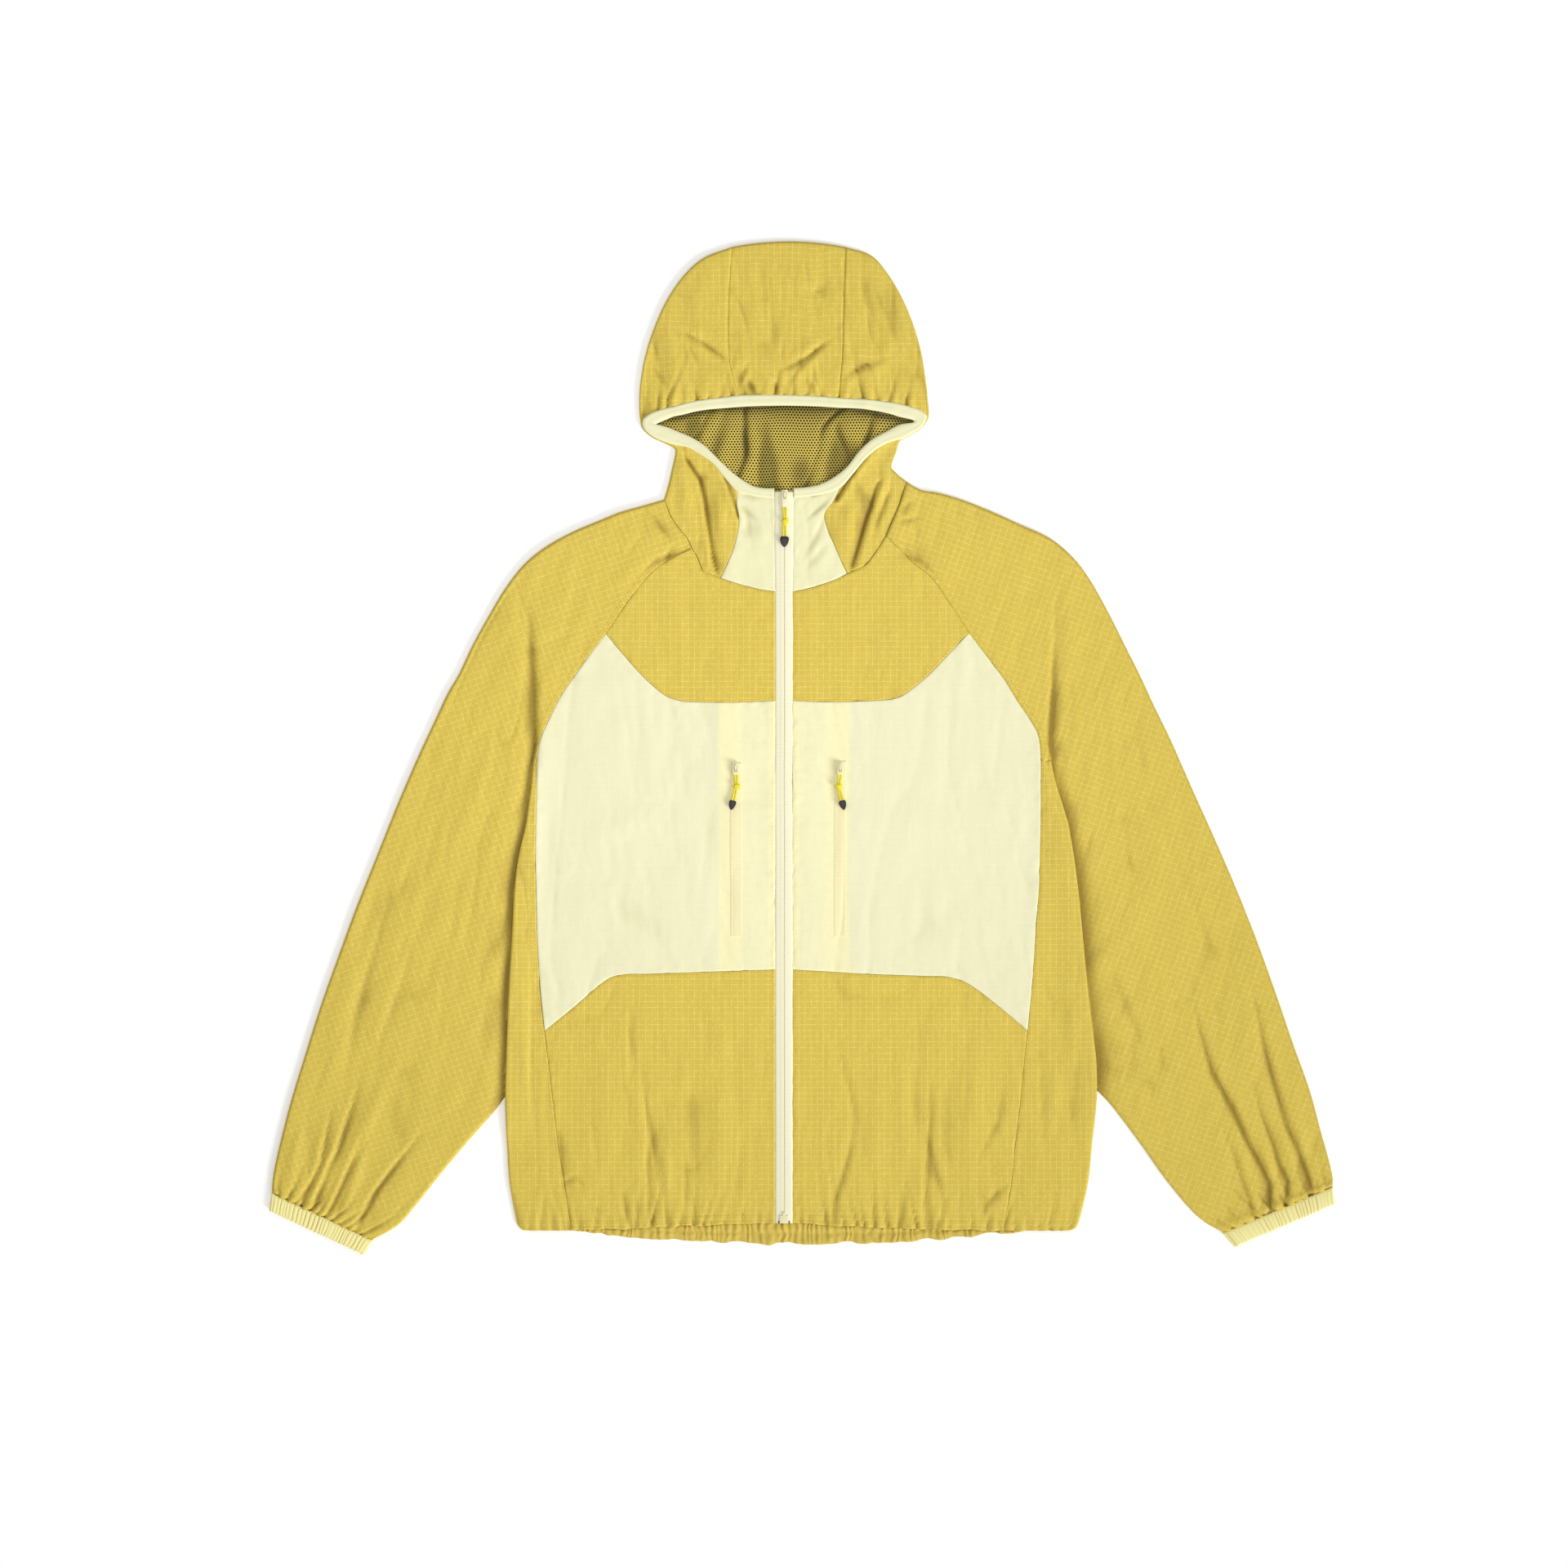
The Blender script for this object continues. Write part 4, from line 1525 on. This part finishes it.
def pocket_zip(side):
    """A slim closed zip, sewn on top of the pale panel."""
    near, far, top, bottom = POCKET_ZIPS[side]
    ups = np.arange(bottom, top + 0.1, 1.6)
    wide = far - near
    section = [(0.0, 0.0), (0.01, 0.15), (0.05, 0.3), (0.16, 0.36), (0.28, 0.34), (0.34, 0.36),
               (0.40, 0.44), (0.45, 0.47), (0.485, 0.46), (0.5, 0.38), (0.515, 0.46), (0.55, 0.47),
               (0.60, 0.44), (0.66, 0.36), (0.72, 0.34), (0.84, 0.36), (0.95, 0.3), (0.99, 0.15),
               (1.0, 0.0)]
    grid = []
    for share, rise in section:
        out = np.full(len(ups), near + wide * share)
        sway = 0.2 * noise(ups, ups * 0, 55, 9, 121)
        base = front_top(side, out, ups) + crumple(SIDES[side] * out, ups, 21)
        grid.append(np.column_stack([SIDES[side] * (out + sway), ups, base + rise]))
    grid = np.stack(grid, 1)
    across = np.abs(grid[..., 0] * SIDES[side] - (near + far) / 2)
    piece = cloth(f"{side}_pocket_zip", grid, np.stack([across, grid[..., 1]], 2), [POCKET_TAPE],
                  [f"{side}_pocket_zip"], upward=(50, 4), thick=0.4)
    declare(piece, grid)


for side in SIDES:
    pocket_zip(side)
print("Pocket zips:", SHEETS[-2:])

# %% [markdown]
# ## Gathered cuffs
# Each cuff is a narrow casing drawn up on elastic, so its cloth stands in many fine ribs.
# The ribs are uneven in width and height, as gathers always are.

# %% Cuffs
CUFF_LINES = {
    "right": ((489.0, -272.7, 392.0, -318.4), (491.4, -290.0, 400.5, -332.4)),
    "left": ((523.9, -266.9, 418.4, -311.0), (525.9, -283.4, 429.6, -324.8)),
}
CUFF_TOP = 6.4
CUFF_RIBS = 27


def cuff(side):
    """A flat tube of uneven ribs, low where it is sewn to the sleeve."""
    rng = np.random.default_rng(131 if side == "right" else 137)
    widths = np.cumsum(rng.uniform(0.6, 1.4, CUFF_RIBS))
    edges = np.concatenate([[0], widths]) / widths[-1]
    flat_share = np.linspace(0, 1, CUFF_RIBS * 9 + 1)
    phase = np.interp(flat_share, edges, np.arange(CUFF_RIBS + 1))
    heights = np.interp(phase, np.arange(CUFF_RIBS + 1) + 0.5, rng.uniform(0.55, 1.1, CUFF_RIBS + 1))
    to_dip = np.abs(phase - np.round(phase))
    depths = np.interp(phase, np.arange(CUFF_RIBS + 1), 0.15 + 0.85 * rng.uniform(0, 1, CUFF_RIBS + 1))
    dip = depths * np.exp(-((to_dip / 0.15) ** 2))
    rib = 1 - dip - 0.12 * heights * (2 * to_dip - 1) ** 2
    upper, lower = (np.array(p, float) for p in CUFF_LINES[side])
    grid = []
    for depth in np.linspace(0, 1, 13):
        line = upper * (1 - depth) + lower * depth
        start, end = line[:2], line[2:]
        length = np.linalg.norm(end - start)
        run = (end - start) / length
        down = np.array([run[1], -run[0]])
        half = CUFF_TOP / 2
        full = 0.55 + 0.45 * math.sin(math.pi * depth) ** 0.6
        along = half + (length - 2 * half) * flat_share
        wander = 0.5 * noise(flat_share * 90, flat_share * 0 + depth * 16, 4, 8, 141)
        scallop = 0.9 * (rib - 0.5) * (1 - 2 * depth)
        low = 0.9 * (1 - depth) ** 3
        top_z = CUFF_TOP - low - 0.9 * (1 - full) - 0.85 * (1 - rib) * full
        low_z = 1.1 * (1 - rib) * full
        angles = np.linspace(np.pi / 2, -np.pi / 2, 7)[1:-1]
        spot = start + run * (along + wander)[:, None] - down * scallop[:, None]
        far = start + run * (length - half + half * np.cos(angles))[:, None]
        near = start + run * (half - half * np.cos(angles))[:, None]
        ring_plan = np.vstack([spot, far, spot[::-1], near, spot[:1]])
        ring_z = np.concatenate([top_z, half + half * np.sin(angles) * 0.8, low_z[::-1],
                                 half - half * np.sin(angles) * 0.8, top_z[:1]])
        grid.append(np.column_stack([SIDES[side] * ring_plan[:, 0], ring_plan[:, 1], ring_z]))
    grid = np.stack(grid)
    steps = np.linalg.norm(np.diff(grid, axis=1), axis=2)
    across = np.concatenate([np.zeros((len(grid), 1)), np.cumsum(steps, 1)], 1)
    grain = np.stack([across, np.repeat(np.linspace(0, 17, len(grid))[:, None], across.shape[1], 1)], 2)
    shade = np.zeros(grid.shape[:2])
    shade[:, :len(dip)] = 0.8 * dip
    shade[0:2] = np.maximum(shade[0:2], 0.3)
    name = f"{side}_cuff"
    piece = cloth(name, grid, grain, [CUFF], [name], upward=(6, 40), shade=shade)
    declare(piece, grid)


for side in SIDES:
    cuff(side)
print("Cuff cuts:", SHEETS[-2:])

# %% [markdown]
# ## Back panel and back hem
# The back panel lies flat under everything and is hardly seen.
# Its hem is drawn in too, and its ruffles show as a darker frill below the fronts.

# %% Back panel and hem
BACK_HEM_TOP = -292
HEM_RUFFLES = 72


def back_panel():
    """The plain back, a little narrower than the fronts and flat on the floor."""
    stations = [(up, *(back_raglan_out(side, up) for side in SIDES)) for up in BACK_RAGLAN_UPS]
    stations += list(zip(SIDE_ROWS["right"]["up"], *(SIDE_ROWS[s]["back"] for s in SIDES)))[:HEM_ROW]
    stations.append((BACK_HEM_TOP, 211, 228))
    line = np.array(stations, float)
    ups = np.linspace(BACK_RAGLAN_UPS[0], BACK_HEM_TOP, 120)
    right = np.interp(-ups, -line[:, 0], line[:, 1])
    left = np.interp(-ups, -line[:, 0], line[:, 2])
    share = np.linspace(0, 1, 80)
    x = -right[:, None] + (right + left)[:, None] * share[None]
    up = np.broadcast_to(ups[:, None], x.shape)
    grid = np.stack([x, up, 0.75 + 0.35 * noise(x, up, 30, 60, 151)], 2)
    piece = cloth("back_panel", grid, grid[..., :2], [MUSTARD], ["back_panel"])
    declare(piece, grid)


def back_hem():
    """Fine pleats above the elastic's stitch line and a wavy frill below it."""
    rng = np.random.default_rng(157)
    widths = np.cumsum(rng.uniform(0.4, 1.6, HEM_RUFFLES))
    edges = np.concatenate([[0], widths]) / widths[-1]
    share = np.linspace(0, 1, HEM_RUFFLES * 8 + 1)
    phase = np.interp(share, edges, np.arange(HEM_RUFFLES + 1))
    high = np.interp(phase, np.arange(HEM_RUFFLES + 1) + 0.5, rng.uniform(0.3, 2.2, HEM_RUFFLES + 1))
    pleat = high * (0.5 - 0.5 * np.cos(2 * np.pi * phase))
    x = -210 + 437 * share
    curve = np.abs(2 * share - 1) ** 2.6
    frill = noise(x, x * 0, 15, 9, 167) + 0.5 * noise(x, x * 0, 7, 9, 168)
    grid = []
    for depth in np.linspace(0, 1, 20):
        bottom = 29.5 - 13 * curve + 1.5 * frill * depth
        up = BACK_HEM_TOP - bottom * depth
        pinch = np.exp(-(((depth - 0.68) / 0.07) ** 2))
        loose = smooth((depth - 0.68) / 0.3)
        strength = smooth(depth / 0.3) * (1 - 0.55 * pinch) * (1 - 0.45 * loose)
        sway = 1.6 * noise(share * 300, share * 0 + depth * 24, 8, 6, 163)
        rise = 1.1 + pleat * strength + 1.3 * np.clip(frill, -0.6, 1) * loose - 0.5 * pinch
        rise += 0.5 * noise(x, x * 0 + 29 * depth, 5, 4, 171) * smooth(depth / 0.2)
        grid.append(np.column_stack([x + sway, up, np.clip(rise, 0.6, 3.9)]))
    grid = np.stack(grid)
    piece = cloth("back_hem", grid, grid[..., :2], [HEM], ["back_hem"], upward=(4, 30))
    declare(piece, grid)


HEM = ripstop("hem ripstop", (218, 192, 86), (236, 216, 124), (202, 174, 74), (140, 112, 34), lines=0.4)
back_panel()
back_hem()
print("Back pieces:", SHEETS[-2:])

# %% [markdown]
# ## Topstitching
# Rows of short stitches hold the seams flat, a few millimetres from each one.
# Each stitch is a small thread laid on the cloth, so a ray from above finds its height.

# %% Stitches
STITCH, STITCH_GAP = 2.1, 1.3
THREAD = plain_nylon("mustard thread", (204, 176, 76), (190, 162, 66))
PALE_THREAD = plain_nylon("pale thread", (236, 231, 190), (226, 220, 176))


def offset_line(line, distance):
    """The same line, moved sideways to its left."""
    run = np.gradient(line, axis=0)
    run /= np.maximum(np.linalg.norm(run, axis=1, keepdims=True), 1e-9)
    return line + distance * np.stack([-run[:, 1], run[:, 0]], 1)


def stitch_row(side, line, distance):
    """Middle and direction of each stitch along a line, in the frame."""
    line = offset_line(line, distance) * [SIDES[side], 1]
    total = length_of(line)
    count = int(total / (STITCH + STITCH_GAP))
    middle = resample(line, (np.arange(count) + 0.5) / count)
    ahead = resample(line, np.clip((np.arange(count) + 0.5) / count + 0.5 / total, 0, 1))
    run = ahead - middle
    run /= np.maximum(np.linalg.norm(run, axis=1, keepdims=True), 1e-9)
    return list(zip(middle, run))


def sew(name, stitches, material):
    """One mesh of all the stitches of a colour, each resting on the cloth below it."""
    bpy.context.view_layer.update()
    graph = bpy.context.evaluated_depsgraph_get()
    scene = bpy.context.scene
    points, faces = [], []
    for middle, run in stitches:
        side_way = np.array([-run[1], run[0]])
        ends = []
        for share in (-0.5, 0.0, 0.5):
            spot = middle + run * share * STITCH
            hit, place_hit, *_ = scene.ray_cast(graph, (spot[0] * MM, spot[1] * MM, 0.03), (0, 0, -1))
            ends.append((spot, place_hit[2] / MM if hit else None))
        if any(z is None or z < 1.0 for _, z in ends):
            continue
        first = len(points)
        for (spot, z), wide, high in zip(ends, (0.16, 0.27, 0.16), (0.03, 0.22, 0.03)):
            points.append((*(spot - side_way * wide), z))
            points.append((*spot, z + high))
            points.append((*(spot + side_way * wide), z))
        for k in (0, 3):
            a = first + k
            faces += [(a, a + 1, a + 4, a + 3), (a + 1, a + 2, a + 5, a + 4)]
    piece = make_mesh(name, np.array(points), np.array(faces), np.array(points)[:, :2])
    piece.data.materials.append(material)
    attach(piece, "jacket")
    print(name, len(faces) // 4, "stitches")


mustard_rows, pale_rows = [], []
for side in SIDES:
    full_raglan = raglan(side, 0, ARMPIT_ROW)
    for distance in (1.5, 5.0):
        mustard_rows += stitch_row(side, full_raglan, distance)
    mustard_rows += stitch_row(side, side_seam(side, 0, HEM_ROW), 2.2)
    mustard_rows += stitch_row(side, seam(NECK_SEAM, side), -2.0)
    mustard_rows += stitch_row(side, seam(YOKE_SEAM, side), 2.0)
    mustard_rows += stitch_row(side, seam(LOWER_SEAM, side), -2.0)
    mustard_rows += stitch_row(side, seam(FRONT_HEM, side), 3.0)
    mustard_rows += stitch_row(side, seam(FRONT_HEM, side), 9.0)
    for low, high, rows in ((-300, -62, mustard_rows), (-58, 194, pale_rows),
                            (198, 298, mustard_rows), (302, 386, pale_rows)):
        rows += stitch_row(side, upright_line(ZIP_EDGE + 1.8, low, high), 0)
    near, far, top, bottom = POCKET_ZIPS[side]
    for out in (near + 1.1, far - 1.1):
        pale_rows += stitch_row(side, upright_line(out, bottom + 1, top - 1), 0)
sew("seam_stitches", mustard_rows, THREAD)
sew("pale_stitches", pale_rows, PALE_THREAD)

# %% [markdown]
# ## Sliders, cords and tips
# Each slider is a small moulded body with a bridge, and its pull turns under that bridge.
# The pulls are a loop of bright cord through the slider, knotted, with a dark moulded tip.

# %% Pull materials
def moulded(name, base, roughness):
    """Moulded resin with a very fine surface grain."""
    material, tree, shader = new_material(name, linear(*base), roughness)
    coords = tree.nodes.new("ShaderNodeTexCoord")
    bump(tree, shader, noise_node(tree, coords.outputs["Object"], 900.0, 2.0), 0.15, 0.0001)
    return material


def braid(name, base, dark):
    """Braided cord: two sets of slanted strands, darker between them."""
    material, tree, shader = new_material(name, linear(*base), 0.5)
    _, across, along = grain_axes(tree)
    slant = [math_node(tree, operation, along, across) for operation in ("ADD", "SUBTRACT")]
    waves = [math_node(tree, "SINE", math_node(tree, "MULTIPLY", s, 2 * math.pi / 0.9)) for s in slant]
    both = math_node(tree, "MULTIPLY", waves[0], waves[1])
    strand = math_node(tree, "ADD", math_node(tree, "MULTIPLY", both, 0.5), 0.5)
    tree.links.new(mix_node(tree, strand, linear(*dark), linear(*base)), shader.inputs["Base Color"])
    bump(tree, shader, strand, 0.5, 0.0002)
    return material


SLIDER = moulded("slider resin", (240, 232, 190), 0.4)
TAB = moulded("tab resin", (246, 240, 205), 0.45)
CORD = braid("bright cord", (252, 238, 66), (226, 208, 40))
TIP = moulded("dark tip", (52, 47, 46), 0.38)
print("Pull materials:", [m.name for m in (SLIDER, TAB, CORD, TIP)])

# %% Building blocks for the pulls
PULLS = {
    "main": dict(x=0.6, pivot_up=392.5, pivot_z=9.85, tab_end=11.4, cord=(11.7, 39.4), tip=(8.6, 10.5),
                 lean=(0.2, -0.1)),
    "right": dict(x=-46.05, pivot_up=132.5, pivot_z=9.35, tab_end=6.5, cord=(5.5, 31), tip=(7.0, 9.5),
                  lean=(0.8, -2.4)),
    "left": dict(x=53.45, pivot_up=132.5, pivot_z=9.35, tab_end=6.5, cord=(5.5, 31), tip=(7.0, 9.5),
                 lean=(-1.6, 1.7)),
}


def rounded_outline(name, outline, low, high, material, bevel):
    """A bevelled plate from its outline, between two heights."""
    count = len(outline)
    points = [(x, y, low) for x, y in outline] + [(x, y, high) for x, y in outline]
    mesh = bpy.data.meshes.new(name)
    sides = [(k, (k + 1) % count, (k + 1) % count + count, k + count) for k in range(count)]
    faces = [tuple(reversed(range(count))), tuple(range(count, 2 * count))] + sides
    mesh.from_pydata([tuple(v * MM for v in p) for p in points], [], faces)
    piece = add_object(name, mesh)
    mesh.materials.append(material)
    round_off = piece.modifiers.new("round", "BEVEL")
    round_off.width = bevel * MM
    round_off.segments = 3
    round_off.limit_method = "ANGLE"
    return piece


def box_outline(x0, y0, x1, y1):
    """The corners of a rectangle."""
    return [(x0, y0), (x1, y0), (x1, y1), (x0, y1)]


def merged(name, pieces):
    """One object from several, with their modifiers applied."""
    graph = bpy.context.evaluated_depsgraph_get()
    points, faces = [], []
    material = pieces[0].data.materials[0]
    for piece in pieces:
        mesh = bpy.data.meshes.new_from_object(piece.evaluated_get(graph))
        base = len(points)
        points += [tuple(piece.matrix_world @ v.co) for v in mesh.vertices]
        faces += [tuple(base + i for i in p.vertices) for p in mesh.polygons]
        bpy.data.objects.remove(piece)
    mesh = bpy.data.meshes.new(name)
    mesh.from_pydata(points, [], faces)
    mesh.polygons.foreach_set("use_smooth", np.ones(len(mesh.polygons), bool))
    mesh.set_sharp_from_angle(angle=math.radians(50))
    mesh.materials.append(material)
    return add_object(name, mesh)


CORD_SIDES = 12


def tube(line, radius):
    """Points, faces and grain map of a round cord along a line."""
    run = np.gradient(line, axis=0)
    run /= np.linalg.norm(run, axis=1, keepdims=True)
    across = np.cross(run, (0.0, 0.0, 1.0))
    across /= np.maximum(np.linalg.norm(across, axis=1, keepdims=True), 1e-6)
    above = np.cross(across, run)
    angles = np.arange(CORD_SIDES + 1) * 2 * np.pi / CORD_SIDES
    ring = across[:, None] * np.cos(angles)[None, :, None] + above[:, None] * np.sin(angles)[None, :, None]
    points = line[:, None] + ring * radius
    grain = np.stack(np.broadcast_arrays(angles[None] * radius, distances(line)[:, None]), 2)
    return points.reshape(-1, 3), grid_faces(len(line), CORD_SIDES + 1), grain.reshape(-1, 2)


def cord_from(name, tubes, body):
    """One cord object from its tubes."""
    points, faces, grain, base = [], [], [], 0
    for tube_points, tube_faces, tube_grain in tubes:
        points.append(tube_points)
        faces.append(tube_faces + base)
        grain.append(tube_grain)
        base += len(tube_points)
    whole = make_mesh(name, np.vstack(points), np.vstack(faces), np.vstack(grain))
    whole.data.materials.append(CORD)
    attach(whole, body)
    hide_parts(name)


print("Zip pulls:", {kind: p["pivot_up"] for kind, p in PULLS.items()})


# %% Sliders, tabs, cords and tips
def slider(name, x, up, base):
    """A plate with a bridge over it."""
    plate = [(-4, -3), (-3.4, -4.4), (-2, -5), (2, -5), (3.4, -4.4), (4, -3), (3.2, 4.2), (2.4, 5),
             (-2.4, 5), (-3.2, 4.2)]
    moved = [(x + a, up + b) for a, b in plate]
    pieces = [rounded_outline("plate", moved, base - 0.7, base + 1.6, SLIDER, 0.35)]
    legs = [box_outline(x - 0.8, up + low, x + 0.8, up + low + 1.1) for low in (-3.3, 2.2)]
    pieces += [rounded_outline("leg", leg, base + 1.3, base + 4.2, SLIDER, 0.25) for leg in legs]
    pieces.append(rounded_outline("bridge", box_outline(x - 0.8, up - 3.2, x + 0.8, up + 3.2), base + 3.3,
                                  base + 4.2, SLIDER, 0.3))
    whole = merged(name, pieces)
    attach(whole, "jacket")
    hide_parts(name)


def tab_loop(x, up, z, end, material):
    """Four bars round the slider's bridge."""
    bars = [box_outline(x - 2.5, up - 0.5, x + 2.5, up + 0.5), box_outline(x - 2.5, up - 4.0, x - 1.3, up),
            box_outline(x + 1.3, up - 4.0, x + 2.5, up), box_outline(x - 2.5, up - end, x + 2.5, up - 3.9)]
    return [rounded_outline("bar", b, z - 0.6, z + 0.6, material, 0.28) for b in bars]


KNOT_SHARE = 0.48


def cord_and_knot(x, up, z, start, end, lean):
    """Two cords side by side, crossed in one knot, hanging a little askew as they lie."""
    knot = start + KNOT_SHARE * (end - start)
    t = np.linspace(0, 1, 40)
    along = start + (end - start) * t
    near_knot = np.exp(-(((along - knot) / 2.2) ** 2))
    tubes = []
    for sign in (-1, 1):
        sway = sign * (1.05 - 0.9 * near_knot) + 0.25 * np.sin(t * 7 + sign)
        askew = np.interp(along, (start, knot, end), (0, *lean))
        line = np.column_stack([x + sway + askew, up - along, z - 0.8 + 0.3 * sign * near_knot])
        tubes.append(tube(line, 0.95))
    turns = np.linspace(0, 2 * np.pi, 25)
    for lift, tilt in ((-0.9, 0.5), (0.9, -0.5), (0.0, 0.1)):
        line = np.column_stack([x + lean[0] + 2.6 * np.cos(turns), up - knot - lift + tilt * np.cos(turns),
                                z - 0.8 + 1.7 * np.sin(turns)])
        tubes.append(tube(line, 1.0))
    return tubes


def tip(name, x, up, z, start, width, length, body, turn):
    """A moulded end, broad at the cord and turned with it."""
    half = width / 2
    outline = [(-half * 0.72, 0), (half * 0.72, 0), (half, -1.4), (half * 0.97, -length * 0.35),
               (half * 0.72, -length * 0.68), (half * 0.25, -length * 0.95), (-half * 0.25, -length * 0.95),
               (-half * 0.72, -length * 0.68), (-half * 0.97, -length * 0.35), (-half, -1.4)]
    c, s = math.cos(turn), math.sin(turn)
    moved = [(x + a * c - b * s, up - start + a * s + b * c) for a, b in outline]
    whole = merged(name, [rounded_outline("body", moved, z - 2.1, z + 0.5, TIP, 0.8)])
    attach(whole, body)
    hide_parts(name)


def pull(kind):
    """One zip's slider on the jacket, and its tab or loop, cord and tip on the pull."""
    p = PULLS[kind]
    x, up, z = p["x"], p["pivot_up"], p["pivot_z"]
    body = f"{kind}_pull"
    prefix = "main" if kind == "main" else f"{kind}_pocket"
    slider(f"{prefix}_slider", x, up, z - 2.45)
    if kind == "main":
        whole = merged("main_tab", tab_loop(x, up, z, p["tab_end"], TAB))
        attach(whole, body)
        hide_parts("main_tab")
    else:
        loop = merged(f"{prefix}_loop", tab_loop(x, up, z, p["tab_end"], SLIDER))
        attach(loop, body)
    start, end = p["cord"]
    lean = p["lean"]
    turn = math.atan2(lean[1] - lean[0], (1 - KNOT_SHARE) * (end - start))
    cord_from(f"{prefix}_cord", cord_and_knot(x, up, z, start, end, lean), body)
    tip(f"{prefix}_tip", x + lean[1], up, z, end + 0.2, *p["tip"], body, turn)


def zip_end(name, boxes, low, high, material):
    """Small moulded blocks at the bottom of the main zip."""
    whole = merged(name, [rounded_outline("block", box_outline(*b), low, high, material, 0.3) for b in boxes])
    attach(whole, "jacket")


for kind in PULLS:
    pull(kind)
zip_end("zip_box", [(-4.0, -302.0, 4.0, -294.6), (-1.3, -294.8, 1.3, -291.5)], 5.4, 6.9, SLIDER)
zip_end("zip_pins", [(-5.3, -302.4, -4.4, -299.8), (4.6, -302.4, 5.5, -299.8)], 5.3, 6.4, TIP)
print("Pulls made:", list(PULLS))

# %% [markdown]
# ## The studio
# The jacket is seen from straight above on a plain white floor.
# A wide soft light fills everything, and a low one from the lower right draws the creases.

# %% Floor, light and camera
VIEW_CENTRE = (0.0, 0.117)
VIEW_WIDTH = 1.4976
LENS, SENSOR = 100, 36

floor_mesh = bpy.data.meshes.new("floor")
floor_mesh.from_pydata([(-9, -9, 0), (9, -9, 0), (9, 9, 0), (-9, 9, 0)], [], [(0, 1, 2, 3)])
floor = add_object("floor", floor_mesh)
floor.location.z = -0.0008
white, _, shader = new_material("floor paint", linear(252, 252, 252), 0.9)
shader.inputs["Emission Color"].default_value = (1.0, 1.0, 1.0, 1.0)
shader.inputs["Emission Strength"].default_value = 0.22
floor_mesh.materials.append(white)

world = bpy.data.worlds.new("studio")
bpy.context.scene.world = world
world.use_nodes = True
world.node_tree.nodes["Background"].inputs["Color"].default_value = (1.0, 0.995, 0.985, 1.0)
world.node_tree.nodes["Background"].inputs["Strength"].default_value = 0.40


def sun(name, strength, elevation, heading, angle):
    """A far light at a height above the floor and a heading round it, in degrees."""
    lamp = bpy.data.lights.new(name, "SUN")
    lamp.energy = strength
    lamp.angle = math.radians(angle)
    add_object(name, lamp).rotation_euler = (math.radians(90 - elevation), 0, math.radians(heading))


sun("low light", 2.15, 29, 50, 26)
soft_box = bpy.data.lights.new("soft box", "AREA")
soft_box.shape = "DISK"
soft_box.size = 0.7
soft_box.energy = 3.5
add_object("soft box", soft_box).location = (0.0, 0.2, 1.0)
camera_data = bpy.data.cameras.new("camera")
camera_data.lens = LENS
camera_data.sensor_width = SENSOR
camera = add_object("camera", camera_data)
camera.location = (*VIEW_CENTRE, VIEW_WIDTH * LENS / SENSOR)
bpy.context.scene.camera = camera
bpy.context.scene.view_settings.view_transform = "Standard"
print("Camera height:", round(camera.location.z, 3), "m")

# %% Sizes and finish
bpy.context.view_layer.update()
print("Sheets and their cuts (width, length, area):")
for entry in SHEETS:
    print(" ", *entry)
